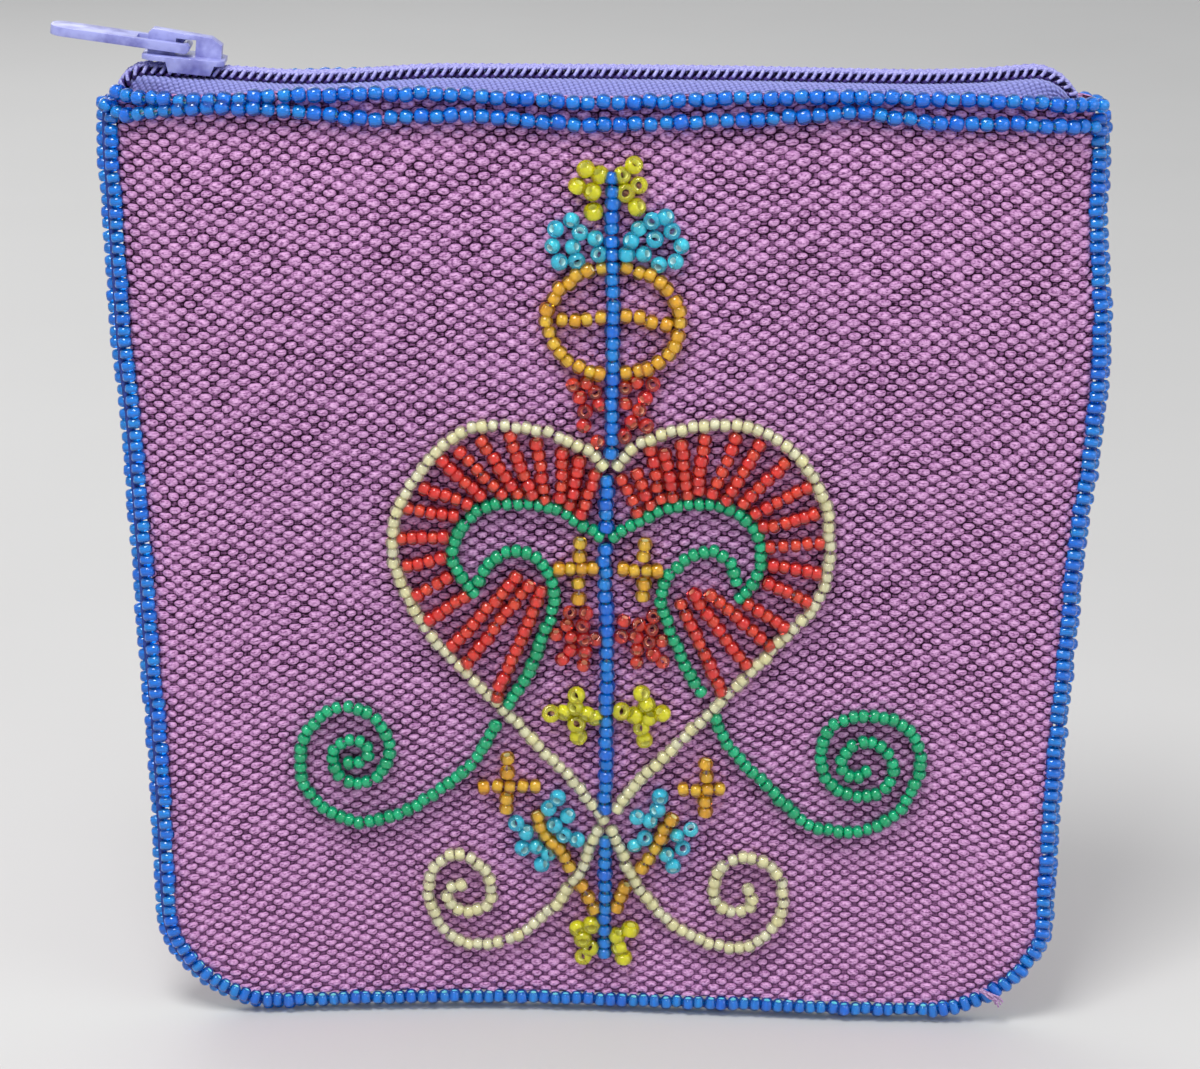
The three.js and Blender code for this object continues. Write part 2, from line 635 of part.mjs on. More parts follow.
// Red rays between the heart and its scrolls, outer end then inner end. They are worked into the
// front panel as ridges.
const RAYS = [
  [[-3.4, 74.4], [-4.4, 70.9]], [[-5.4, 75.3], [-5.6, 71.6]], [[-8.1, 76.4], [-7.6, 72]],
  [[-11.3, 77], [-9.6, 72.2]], [[-14.6, 76.8], [-11.6, 71.8]], [[-17.2, 75.4], [-13.9, 71.8]],
  [[-19.2, 74.2], [-15.9, 71.3]], [[-21.1, 71.1], [-17.9, 70]], [[-22.8, 68.5], [-19.4, 68]],
  [[-23.5, 64.8], [-20.6, 65.2]], [[-23, 61.6], [-20.6, 62.4]], [[-21.9, 58.2], [-19.8, 59.8]],
  [[-20.2, 55.2], [-17.6, 57]], [[-17.8, 51.8], [-12, 58.6]], [[-15.6, 48.9], [-9.6, 58.6]],
  [[-12.7, 45.6], [-8.5, 55.6]],
  [[4.4, 74.6], [5.4, 71.4]], [[6, 75.6], [6.8, 71.6]], [[8, 76.2], [8.5, 72]],
  [[10.2, 76.9], [10.3, 72.2]], [[12.6, 77.4], [12.1, 72.4]], [[15.5, 77.1], [14, 72.2]],
  [[18.2, 76.4], [15.8, 71.8]], [[21, 74.7], [17.7, 71.2]], [[23.4, 71.6], [19.4, 69.4]],
  [[24.8, 68.2], [20.6, 66.9]], [[25.1, 64.8], [21.2, 64.4]], [[24.7, 61.2], [21, 61.6]],
  [[23.3, 58.1], [19.8, 59.4]], [[21.3, 54.9], [18.4, 56.6]], [[19, 52], [13.6, 57.4]],
  [[16.6, 49.1], [11.2, 57.2]], [[14.2, 45.9], [10.2, 54.6]],
];

function rayRidges() {
  return RAYS.map((ends) => {
    const [from, to] = ends.map((end) => motifPoint(end, MOTIF_BEAD_RADIUS - RAY_SUNK));
    return strand(new THREE.LineCurve3(from, to), motifFacing, 1, MOTIF_BEAD_RADIUS);
  });
}

// The motif reaches from its foot buds to its yellow buds, and is scaled to its margins.
const drawnFoot = Math.min(...FOOT_BUD.flat(2).map(([, up]) => up));
const drawnTop = Math.max(...YELLOW_BUD.flat(2).map(([, up]) => up));
const motifUnit = (motifTop - motifFoot) / (drawnTop - drawnFoot);

// Pouch
put('front_panel', joined([panel(-1), ...rayRidges()]), canvasFinish());
put('back_panel', panel(1), canvasFinish());
edging('front', -1);
edging('back', 1);
hemString('hem_beads_front_upper', -1, HEM_UPPER_DROP);
hemString('hem_beads_front_lower', -1, HEM_LOWER_DROP);
hemString('hem_beads_back_upper', 1, HEM_UPPER_DROP);
hemString('hem_beads_back_lower', 1, HEM_LOWER_DROP);

// Motif
SPINE.forEach((line, i) => motifNode(`spine_beads_${i + 1}`, blueGlass(), line));
motifNode('ring_beads_left', amberGlass(), ringHalf(-1), crossbar(-1));
motifNode('ring_beads_right', amberGlass(), ringHalf(1), crossbar(1));
motifNode('heart_beads_left', creamGlass(), HEART_LEFT);
motifNode('heart_beads_right', creamGlass(), HEART_RIGHT);
motifNode('tail_beads_left', creamGlass(), TAIL_LEFT);
motifNode('arch_beads_left', greenGlass(), ARCH_LEFT);
motifNode('arch_beads_right', greenGlass(), ARCH_RIGHT);
motifNode('hook_beads_left', greenGlass(), HOOK_LEFT);
motifNode('hook_beads_right', greenGlass(), HOOK_RIGHT);
motifNode('curl_beads_left', greenGlass(), CURL_LEFT);
motifNode('curl_beads_right', greenGlass(), CURL_RIGHT);
['left', 'right'].forEach((hand, i) => {
  motifNode(`red_bud_beads_${hand}`, redGlass(), ...RED_BUD[i]);
  motifNode(`yellow_bud_beads_${hand}`, yellowGlass(), ...YELLOW_BUD[i]);
  motifNode(`turquoise_bud_beads_${hand}`, turquoiseGlass(), ...TURQUOISE_BUD[i]);
  motifNode(`amber_cross_beads_${hand}`, amberGlass(), ...AMBER_CROSS[i]);
  motifNode(`red_blossom_beads_${hand}`, redGlass(), ...RED_BLOSSOM[i]);
  motifNode(`yellow_cross_beads_${hand}`, yellowGlass(), ...YELLOW_CROSS[i]);
  motifNode(`low_cross_beads_${hand}`, amberGlass(), ...LOW_CROSS[i]);
  motifNode(`flower_beads_${hand}`, turquoiseGlass(), ...FLOWER[i]);
  motifNode(`foot_bud_beads_${hand}`, yellowGlass(), ...FOOT_BUD[i]);
});

// Zip
put('zip_tape_front', tape(-1), tapeFinish());
put('zip_tape_back', tape(1), tapeFinish());
put('zip_coil_front', coil(-1), coilFinish());
put('zip_coil_back', coil(1), coilFinish());

const runner = new THREE.Group();
runner.position.set(-topHalf + SLIDER_END_GAP, 0, zipHeight);
pouch.add(runner);
const pitched = new THREE.Group();
pitched.rotation.y = SLIDER_PITCH;
runner.add(pitched);
put('slider', slider(), sliderFinish(), pitched);
const hinge = new THREE.Group();
hinge.position.set(WINDOW_PLACE, 0, PLATE_OVER_COIL + PLATE + WINDOW_HEIGHT / 2);
hinge.rotation.y = PULL_TILT - SLIDER_PITCH;
pitched.add(hinge);
put('slider_pull', pull(), sliderFinish(), hinge);

export default pouch;
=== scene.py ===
# %% [markdown]
# # A beaded wallet
# A zip pouch of coarse mauve canvas, about 12 cm each way, standing on its bead-edged
# bottom. The front carries a heart with scrolls, sewn in glass seed beads. The packed
# model gives every piece its place, and this script gives the pieces their looks.

# %% Load the frame
import math

import bmesh
import bpy
import numpy as np
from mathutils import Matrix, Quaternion, Vector
from mathutils.geometry import delaunay_2d_cdt


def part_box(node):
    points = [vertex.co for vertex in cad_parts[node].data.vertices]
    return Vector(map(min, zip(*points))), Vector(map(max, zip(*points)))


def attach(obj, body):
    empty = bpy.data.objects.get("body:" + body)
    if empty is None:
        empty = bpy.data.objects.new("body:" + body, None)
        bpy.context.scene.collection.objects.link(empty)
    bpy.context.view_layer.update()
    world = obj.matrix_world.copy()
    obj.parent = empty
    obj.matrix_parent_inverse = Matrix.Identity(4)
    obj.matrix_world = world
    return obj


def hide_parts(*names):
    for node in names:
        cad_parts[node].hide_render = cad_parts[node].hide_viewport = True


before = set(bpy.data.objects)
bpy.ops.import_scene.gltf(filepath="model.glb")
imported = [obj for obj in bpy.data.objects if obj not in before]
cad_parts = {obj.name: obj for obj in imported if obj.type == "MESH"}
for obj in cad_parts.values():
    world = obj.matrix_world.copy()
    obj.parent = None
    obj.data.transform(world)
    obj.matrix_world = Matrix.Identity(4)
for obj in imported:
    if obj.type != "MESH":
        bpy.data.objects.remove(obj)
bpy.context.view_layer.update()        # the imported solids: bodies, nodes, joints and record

MM = 0.001               # lengths below are in millimetres, and Blender's are in metres


def put_in_scene(name, data):
    """A new object for a mesh, lamp or camera, linked to the scene."""
    made = bpy.data.objects.new(name, data)
    bpy.context.scene.collection.objects.link(made)
    return made

# %% [markdown]
# ## Camera
# The view is from in front and a little above, through a long lens. The edges of the pouch
# and its bead lines give the distance and the tilt.

# %% Camera
CAMERA_TARGET = Vector((-0.6, -1.8, 63.7))
CAMERA_DISTANCE = 450
CAMERA_ELEVATION = math.radians(17.5)
CAMERA_ROLL = math.radians(0.7)
CAMERA_LENS = 109.35
CAMERA_NEAREST = 10

lens = bpy.data.cameras.new("camera")
lens.lens = CAMERA_LENS
lens.clip_start = CAMERA_NEAREST * MM
camera = put_in_scene("camera", lens)
towards_camera = Vector((0, -math.cos(CAMERA_ELEVATION), math.sin(CAMERA_ELEVATION)))
camera.location = (CAMERA_TARGET + CAMERA_DISTANCE * towards_camera) * MM
camera.rotation_mode = "QUATERNION"
camera.rotation_quaternion = (
    (-towards_camera).to_track_quat("-Z", "Y") @ Quaternion((0, 0, 1), CAMERA_ROLL)
)
bpy.context.scene.camera = camera
bpy.context.scene.view_settings.view_transform = "Standard"
print("camera at", [round(place, 3) for place in camera.location])

# %% [markdown]
# ## Node helpers
# Materials and Geometry Nodes are both trees of nodes. One helper adds a node, sets its
# options, and fills each input with a value or with another node's output, so that a
# tree reads from top to bottom like a recipe.

# %% Node helpers
def add_node(tree, kind, inputs=None, **options):
    """One node in a tree; an input takes a value, or a link from another node's socket."""
    made = tree.nodes.new(kind)
    for option, value in options.items():
        setattr(made, option, value)
    for socket, value in (inputs or {}).items():
        if isinstance(value, bpy.types.NodeSocket):
            tree.links.new(value, made.inputs[socket])
        else:
            made.inputs[socket].default_value = value
    return made


def new_group(name, kind, inputs, outputs):
    """An empty node group with named sockets; returns it with its input sockets."""
    tree = bpy.data.node_groups.new(name, kind)
    for label, socket in inputs.items():
        tree.interface.new_socket(label, in_out="INPUT", socket_type="NodeSocket" + socket)
    for label, socket in outputs.items():
        tree.interface.new_socket(label, in_out="OUTPUT", socket_type="NodeSocket" + socket)
    return tree, add_node(tree, "NodeGroupInput").outputs


def new_material(name, **constants):
    """A material with its Principled shader; constants go straight onto the shader."""
    material = bpy.data.materials.new(name)
    material.use_nodes = True
    shader = material.node_tree.nodes["Principled BSDF"]
    for socket, value in constants.items():
        shader.inputs[socket.replace("_", " ")].default_value = value
    return material, material.node_tree, shader


def blend_colours(tree, factor, low, high):
    """A Mix node for colours, each a socket or three numbers; returns its colour output."""
    low, high = (end if isinstance(end, bpy.types.NodeSocket) else (*end, 1) for end in (low, high))
    return add_node(tree, "ShaderNodeMix", {0: factor, 6: low, 7: high}, data_type="RGBA").outputs[2]


def noise(tree, where, scale, detail=2.0, **more):
    """A Noise node; returns its value."""
    return add_node(tree, "ShaderNodeTexNoise", {
        "Vector": where, "Scale": scale, "Detail": detail, **more}).outputs[0]


def spread(tree, value, low, high, to_low=0.0, to_high=1.0):
    """A Map Range node; returns its output."""
    return add_node(tree, "ShaderNodeMapRange", {
        "Value": value, "From Min": low, "From Max": high, "To Min": to_low, "To Max": to_high,
    }).outputs[0]


def calc(tree, operation, *values):
    """A Math node; returns its output."""
    return add_node(tree, "ShaderNodeMath", dict(enumerate(values)), operation=operation).outputs[0]


def place_group(tree, group, threads, **inputs):
    """A shader group in a material, reading thread coordinates; returns its outputs."""
    values = {label.replace("_", " "): value for label, value in inputs.items()}
    return add_node(tree, "ShaderNodeGroup", {"Threads": threads, **values}, node_tree=group).outputs


def link_look(tree, shader, colour, height=None, strength=1.0, depth=0.0):
    """Give a shader its colour and, where there is a height, a bump of a depth in millimetres."""
    tree.links.new(colour, shader.inputs["Base Color"])
    if height is not None:
        bump = add_node(tree, "ShaderNodeBump", {
            "Height": height, "Strength": strength, "Distance": depth * MM})
        tree.links.new(bump.outputs[0], shader.inputs["Normal"])


print("node helpers ready")

# %% [markdown]
# ## Floor and light
# The wallet stands on a plain pale table. Light comes softly from above and in front,
# which puts a small bright spot on top of each bead and a shade under each thread. Three
# area lamps do this. The even light of the world fills in, because most of what lights the
# paint inside the beads comes through their glass from all sides.

# %% Floor, lamps and world
FLOOR_HALF = 1500
FLOOR_SHADES = (0.58, 0.57, 0.56), (0.63, 0.62, 0.61)
LAMP_TARGET = Vector((0, 0, 60))
WORLD_COLOUR = (0.96, 0.98, 1.0, 1)
WORLD_STRENGTH = 0.66
LAMPS = {                # place in mm, side in mm, watts
    "lamp_above": ((-130, -290, 640), 240, 3.1),
    "lamp_right": ((620, -420, 330), 480, 1.1),
    "lamp_behind": ((-300, 560, 420), 480, 0.9),
}


def floor_material():
    """Pale matt table top with a faint mottle."""
    material, tree, shader = new_material("table_top", Roughness=0.6)
    where = add_node(tree, "ShaderNodeTexCoord").outputs["Object"]
    mottle = noise(tree, where, 9.0, 4.0)
    link_look(tree, shader, blend_colours(tree, mottle, *FLOOR_SHADES))
    return material


floor_mesh = bpy.data.meshes.new("floor")
floor_mesh.from_pydata(
    [(x * FLOOR_HALF * MM, y * FLOOR_HALF * MM, 0) for x, y in ((-1, -1), (1, -1), (1, 1), (-1, 1))],
    [], [(0, 1, 2, 3)],
)
floor_mesh.materials.append(floor_material())
floor = put_in_scene("floor", floor_mesh)

for name, (place, side, watts) in LAMPS.items():
    lamp = bpy.data.lights.new(name, "AREA")
    lamp.size = side * MM
    lamp.energy = watts
    holder = put_in_scene(name, lamp)
    holder.location = Vector(place) * MM
    holder.rotation_euler = (LAMP_TARGET - Vector(place)).to_track_quat("-Z", "Y").to_euler()

world = bpy.data.worlds.new("soft_room")
world.use_nodes = True
sky = world.node_tree.nodes["Background"].inputs
sky["Color"].default_value = WORLD_COLOUR
sky["Strength"].default_value = WORLD_STRENGTH
bpy.context.scene.world = world
print(len(LAMPS), "lamps")

# %% [markdown]
# ## The form of the pouch
# Two panels are sewn together round the sides and the bottom and swell apart towards the
# mouth, which is held open by the zip. A formula gives every point of the cloth from its
# place across and up, so canvas, beads and zip all follow one form. The real outline
# isn't quite even, so each side has a list of how far it stands out at a height.

# %% Form of the pouch
CLOTH = 1.0
SEAM_HALF = 1.15         # from the seam's plane to the cloth's outside at the edge
CORNER_RADIUS = 12.0
FOOT_HALF = 54.8
MOUTH_DEPTH = 5.5
BELLY_DEPTH = 4.5
BOTTOM_BOW = 5.8         # how far the ends of the bottom stand in front of its middle
FOOT_FORWARD = [         # across, and how far the foot's edge bends to the front besides
    (-52, 0), (-37, 1.2), (-25, 1.6), (-13, 2.0), (0, 2.8), (11, 3.2), (24, 3.2), (36, 2.4), (44, 1.2),
    (52, 0)]
FOOT_BEND = 14           # the higher, the closer to the edge the foot bends
MOUTH_SQUARENESS = 10
LEFT_STANDS_OUT = [      # height, and how far the edge lies outside its straight line
    (2, -1.9), (7, -1.5), (12, -0.9), (20, -0.85), (30, -0.85), (40, -0.7), (50, -0.2), (58, -0.15),
    (66, 0.2), (72, 0.3), (79, 0.6), (86, 1.15), (92, 1.3), (105, 1.5), (112, 1.8), (119, 1.2)]
RIGHT_STANDS_OUT = [
    (2, -0.4), (6, 0.0), (12, 0.9), (20, 0.7), (30, 0.55), (40, 0.7), (50, 0.95), (58, 1.1), (66, 1.3),
    (72, 2.1), (78, 2.4), (85, 2.5), (92, 2.4), (98, 1.5), (105, 0.8), (112, 0.7), (119, 0.3)]
SIDE_SMOOTHING = 3.0     # over what height, each way, a side's list is evened out
SMOOTH_STEPS = 13

back_low, back_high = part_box("back_panel")
slider_low, slider_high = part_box("slider")
CANVAS_FOOT = back_low.z / MM
CANVAS_TOP = back_high.z / MM
TOP_HALF = back_high.x / MM
SEAM_PLANE = (slider_low.y + slider_high.y) / 2 / MM
CORNER_TOP = CANVAS_FOOT + CORNER_RADIUS
FRONT, BACK = -1, 1
print(f"canvas {2 * TOP_HALF:.1f} mm wide at the mouth, {CANVAS_TOP - CANVAS_FOOT:.1f} mm high")

# %% [markdown]
# The lists have a few points each, so a moving average rounds them off. A panel's depth is
# the sum of a slope up to the mouth and a belly, and it falls to nothing at the sides: softly
# low down, and squarely at the mouth. Modelling this by hand would leave the beads and the
# zip to be fitted by eye, but a formula can be asked for any point and its direction.

# %% Points on the cloth
def rise(z):
    """0 at the bottom of the canvas, 1 at its top."""
    return np.clip((z - CANVAS_FOOT) / (CANVAS_TOP - CANVAS_FOOT), 0, 1)


def smooth_list(places, at, reach=6.0):
    """A value that changes smoothly between listed ones."""
    where, value = np.array(places, float).T
    steps = np.linspace(-reach, reach, SMOOTH_STEPS)
    return np.mean([np.interp(at + step, where, value) for step in steps], axis=0)


def unit(vectors):
    """Vectors brought to a length of 1."""
    return vectors / np.linalg.norm(vectors, axis=-1, keepdims=True)


def half_width(z, x):
    """Width of the canvas at a height, on the left or right of the middle."""
    taper = (z - CORNER_TOP) / (CANVAS_TOP - CORNER_TOP)
    side = FOOT_HALF + (TOP_HALF - FOOT_HALF) * taper
    below = np.clip(CORNER_TOP - z, 0, CORNER_RADIUS)
    corner = FOOT_HALF - CORNER_RADIUS + np.sqrt(CORNER_RADIUS**2 - below**2)
    even = np.where(z > CORNER_TOP, side, corner)
    left, right = (smooth_list(places, z, SIDE_SMOOTHING) for places in (LEFT_STANDS_OUT, RIGHT_STANDS_OUT))
    return even + np.where(x < 0, left, right)


def seam_depth(x, z):
    """Where the seam's plane lies, which bows to the front along the bottom and bends at the foot."""
    bow = BOTTOM_BOW * (x / FOOT_HALF) ** 2 * (1 - rise(z))
    return SEAM_PLANE - bow - smooth_list(FOOT_FORWARD, x) * (1 - rise(z)) ** FOOT_BEND


def swell(x, z):
    """How far a panel stands off the seam's plane."""
    up = rise(z)
    across = np.clip(np.abs(x) / half_width(z, x), 0, 1)
    depth = MOUTH_DEPTH * up + 4 * BELLY_DEPTH * up * (1 - up)
    return depth * (1 - across ** (2 + MOUTH_SQUARENESS * up**4))


def on_cloth(x, z, side, lift=0.0):
    """Points on a panel's outer face, or lifted off it."""
    x, z = np.broadcast_arrays(np.asarray(x, float), np.asarray(z, float))
    y = seam_depth(x, z) + side * (SEAM_HALF + swell(x, z) + lift)
    return np.stack([x, y, z], axis=-1)


def cloth_normal(x, z, side, reach=0.5):
    """Outward direction of a panel's face, from differences."""
    across = on_cloth(x + reach, z, side) - on_cloth(x - reach, z, side)
    upward = on_cloth(x, z + reach, side) - on_cloth(x, z - reach, side)
    return unit(-side * np.cross(across, upward))


print(f"panels stand {float(swell(0.0, CANVAS_TOP / 2)):.1f} mm off the seam halfway up")

# %% [markdown]
# ## Spun fibre
# Canvas, zip tape and sewing thread are all spun fibre, so they share one shader group:
# streaks that run along the thread, for the colour and for a fine bump.

# %% Fibre group
def fibre_group():
    """Streaks along a thread, from thread coordinates."""
    tree, given = new_group(
        "fibre", "ShaderNodeTree",
        {"Threads": "Vector", "Fineness": "Float", "Stretch": "Vector"},
        {"Shade": "Float", "Height": "Float"},
    )
    along = add_node(tree, "ShaderNodeVectorMath", {0: given["Threads"], 1: given["Stretch"]},
                     operation="MULTIPLY").outputs[0]
    streaks = noise(tree, along, given["Fineness"], 3.0, Roughness=0.6)
    fuzz = noise(tree, given["Threads"], given["Fineness"])
    shade = spread(tree, calc(tree, "ADD", streaks, fuzz), 0.7, 1.3)
    add_node(tree, "NodeGroupOutput", {"Shade": shade, "Height": streaks})
    return tree


FIBRE = fibre_group()
print("group", FIBRE.name, [item.name for item in FIBRE.interface.items_tree])

# %% [markdown]
# ## Canvas threads
# The canvas is a plain weave of thick soft yarn, so coarse that every crossing shows: a
# plump knot where the weft passes over, and a small sunk one where the warp does. The
# threads don't run straight. They fan out with the pouch's taper, and the rows climb to
# the right, as in cloth that was cut a little off the grain. So each point of a panel has
# thread coordinates, counted in warp threads across and weft threads up.

# %% Canvas threads
WARP_PITCH = 1.18
WEFT_PITCH = 0.76
WARP_FAN = 0.09          # how much wider apart the threads lie at the top than at the foot
WEFT_FAN = 0.12
GRAIN_LEAN = [(2, 0), (24, -1.4), (41, -0.1), (53, 0.4), (82, 0.6), (97, 0.5), (118, -0.8)]
ROW_CLIMB = [(-57, -6), (-35, -2.8), (-13, -0.9), (5, 0.1), (26, 1.9), (37, 2.2), (46, 1.5), (57, 0.4)]
panel_height = CANVAS_TOP - CANVAS_FOOT


def warp_spacing(z):
    """Distance of neighbouring warp threads at a height."""
    return WARP_PITCH * (1 + WARP_FAN * (rise(z) - 0.5))


def threads_at(x, z):
    """Thread coordinates of points across and up, counted from the middle of the panel."""
    u = (x - smooth_list(GRAIN_LEAN, z)) / warp_spacing(z)
    up = (z - smooth_list(ROW_CLIMB, x) - CANVAS_FOOT) / panel_height
    v = np.log(1 + WEFT_FAN * (up - 0.5)) * panel_height / (WEFT_PITCH * WEFT_FAN)
    return u, v


def place_of(u, v, rounds=6):
    """Points across and up of thread coordinates, found by a few rounds of correction."""
    up = 0.5 + (np.exp(v * WEFT_PITCH * WEFT_FAN / panel_height) - 1) / WEFT_FAN
    level = CANVAS_FOOT + panel_height * up
    x, z = u * WARP_PITCH, level
    for _ in range(rounds):
        z = level + smooth_list(ROW_CLIMB, x)
        x = smooth_list(GRAIN_LEAN, z) + u * warp_spacing(z)
    return x, z


print(f"about {2 * TOP_HALF / WARP_PITCH:.0f} warp threads and {panel_height / WEFT_PITCH:.0f} weft threads")

# %% [markdown]
# A bump map alone would look flat at the outline and would be lost in a printed mesh. So
# the knots are raised in the mesh itself, with points three to a warp thread and two to a
# weft thread. Knots lie where the two thread numbers add up to an even number, which a
# diagonal count finds by rounding. The material finds them again in the same way, from a
# UV map of the thread coordinates, and so can draw fibres and dark gaps finer than the mesh.

# %% Knots in the mesh
STEPS_PER_WARP = 3
STEPS_PER_WEFT = 2
WEAVE_DEPTH = 0.50
WEAVE_SEAT = 0.55        # share of the depth that lies under the cloth's plain face
WEFT_KNOT = (0.70, 0.66, 1.0)    # half length and half height in threads, and share of the depth
WARP_KNOT = (0.40, 0.42, 0.4)
KNOT_FULLNESS = 2.4
YARN_DRIFT = ((5, 0.20), (1, 0.06))  # how many threads apart, and how far yarn strays in mm
STRAY_REACH = 200        # threads each way from the middle that strays are drawn for


def weave_height(u, v):
    """Height of the weave from 0 to 1 at thread coordinates."""
    height = np.zeros_like(u)
    for shift, (half_length, half_height, top) in enumerate((WEFT_KNOT, WARP_KNOT)):
        rising = np.round((u + shift + v) / 2)
        falling = np.round((u + shift - v) / 2)
        across = np.abs(u + shift - rising - falling) / half_length
        upward = np.abs(v - rising + falling) / half_height
        inside = np.clip(1 - across**KNOT_FULLNESS - upward**KNOT_FULLNESS, 0, 1)
        height = np.maximum(height, top * np.sqrt(inside))
    return height


def stray(u, v, rng):
    """How far the yarn strays at thread coordinates: seeded steps, smooth between them."""
    total = np.zeros_like(u)
    for apart, reach in YARN_DRIFT:
        size = 2 * STRAY_REACH // apart
        table = rng.normal(0, reach, (size, size))
        a, b = u / apart + STRAY_REACH // apart, v / apart + STRAY_REACH // apart
        i, j = np.floor(a).astype(int), np.floor(b).astype(int)
        s, t = a - i, b - j
        total += ((table[i, j] * (1 - s) + table[i + 1, j] * s) * (1 - t)
                  + (table[i, j + 1] * (1 - s) + table[i + 1, j + 1] * s) * t)
    return total


print("knots up to", WEAVE_DEPTH, "mm high")

# %% [markdown]
# The outline follows the pouch's form, and the top edge follows the upper string of hem
# beads, which is sewn on the fold. Points of the weave inside the outline and points along
# it are joined to triangles, and a coarse inner face closes the panel to a sheet.

# %% Outline of a panel
OUTLINE_STEP = 0.42
OUTLINE_MARGIN = 0.24
INNER_STEP = 7.0
INNER_MARGIN = 2.5
FOLD_OVER_HEM = 0.3
HEM_UPPER = [(-58.6, 118.0), (-49.3, 118.0), (-38.3, 118.8), (-20.9, 119.3), (-2.4, 118.5),
             (17.6, 119.3), (35.6, 119.4), (47.7, 119.1), (58.6, 117.9)]


def canvas_top(x):
    """Height of the canvas's folded top edge."""
    return np.minimum(smooth_list(HEM_UPPER, x, reach=2.0) + FOLD_OVER_HEM, CANVAS_TOP)


def even_steps(start, end):
    """Values from a start up to an end, about one outline step apart."""
    return np.linspace(start, end, max(2, round(abs(end - start) / OUTLINE_STEP)), endpoint=False)


def outline_side(hand):
    """One side of the outline, from the end of the straight foot up to the top corner."""
    turn = even_steps(0, math.pi / 2 * CORNER_RADIUS) / CORNER_RADIUS
    top = canvas_top(hand * half_width(CANVAS_TOP, hand))
    z = np.concatenate([CORNER_TOP - CORNER_RADIUS * np.cos(turn), even_steps(CORNER_TOP, top), [top]])
    return np.stack([hand * half_width(z, hand), z], -1)


def foot_line():
    """The straight foot between the corners, from left to right."""
    x = even_steps(outline_side(-1)[0, 0], outline_side(1)[0, 0])[1:]
    return np.stack([x, np.full_like(x, CANVAS_FOOT)], -1)


def outline():
    """The whole outline, across and up, leftwards along the top and rightwards along the foot."""
    left, right = outline_side(-1), outline_side(1)
    top = even_steps(right[-1, 0], left[-1, 0])[1:]
    return np.concatenate([foot_line(), right, np.stack([top, canvas_top(top)], -1), left[::-1]])


print(len(outline()), "points along the outline")

# %% Points of the weave
EDGE_CALM = 2.0          # within this distance of the edge the yarn strays less
UPWARD_STRAY = 0.7       # of the straying across
SPARE_WARP = 9           # threads past the panel's half width, which the lean may bring in
SPARE_WEFT = 16
KEEP_INSIDE = 1          # the triangulation's number for what lies within the outline
SAME_POINT = 1e-7


def within(x, z, margin):
    """Which points lie inside the outline by a margin."""
    sides = np.abs(x) < half_width(np.clip(z, CANVAS_FOOT, CANVAS_TOP), x) - margin
    return sides & (z > CANVAS_FOOT + margin) & (z < canvas_top(x) - margin)


def fill_outline(edge, x, z):
    """Triangles over the outline and the points inside it, by their numbers in that order."""
    flat = np.concatenate([edge, np.stack([x, z], -1)])
    loop = [(k, (k + 1) % len(edge)) for k in range(len(edge))]
    points = [Vector(point) for point in flat.tolist()]
    _, _, triangles, sources, _, _ = delaunay_2d_cdt(points, loop, [], KEEP_INSIDE, SAME_POINT)
    return flat, [[sources[corner][0] for corner in triangle] for triangle in triangles]


def woven_points(rng):
    """Points of the weave inside the outline."""
    steps_across = STEPS_PER_WARP * (math.ceil(TOP_HALF / WARP_PITCH) + SPARE_WARP)
    steps_up = STEPS_PER_WEFT * (math.ceil(panel_height / WEFT_PITCH / 2) + SPARE_WEFT)
    row, step = np.mgrid[-steps_up:steps_up + 1, -steps_across:steps_across + 1]
    u = ((step + 0.5 * (row % 2)) / STEPS_PER_WARP).ravel()
    v = (row / STEPS_PER_WEFT).ravel()
    x, z = place_of(u, v)
    kept = within(x, z, OUTLINE_MARGIN)
    u, v, x, z = u[kept], v[kept], x[kept], z[kept]
    freedom = np.clip((half_width(z, x) - np.abs(x)) / EDGE_CALM, 0, 1)
    across = freedom * stray(u, v, rng)
    upward = UPWARD_STRAY * freedom * stray(u, v, rng)
    return u, v, x + across, z + upward


print(f"points of the weave every {WARP_PITCH / STEPS_PER_WARP:.2f} by {WEFT_PITCH / STEPS_PER_WEFT:.2f} mm")

# %% [markdown]
# The material finds each knot from the thread coordinates: one node group gives the knot's
# dome and a number of its own, so that no two knots are quite alike. Crests get a painted
# highlight, gaps painted shade, and the cloth is paler at the sides and, as painted light, low down.

# %% Knot group
KNOT_SIZES = (0.86, 1.08)            # of the smallest and largest knot


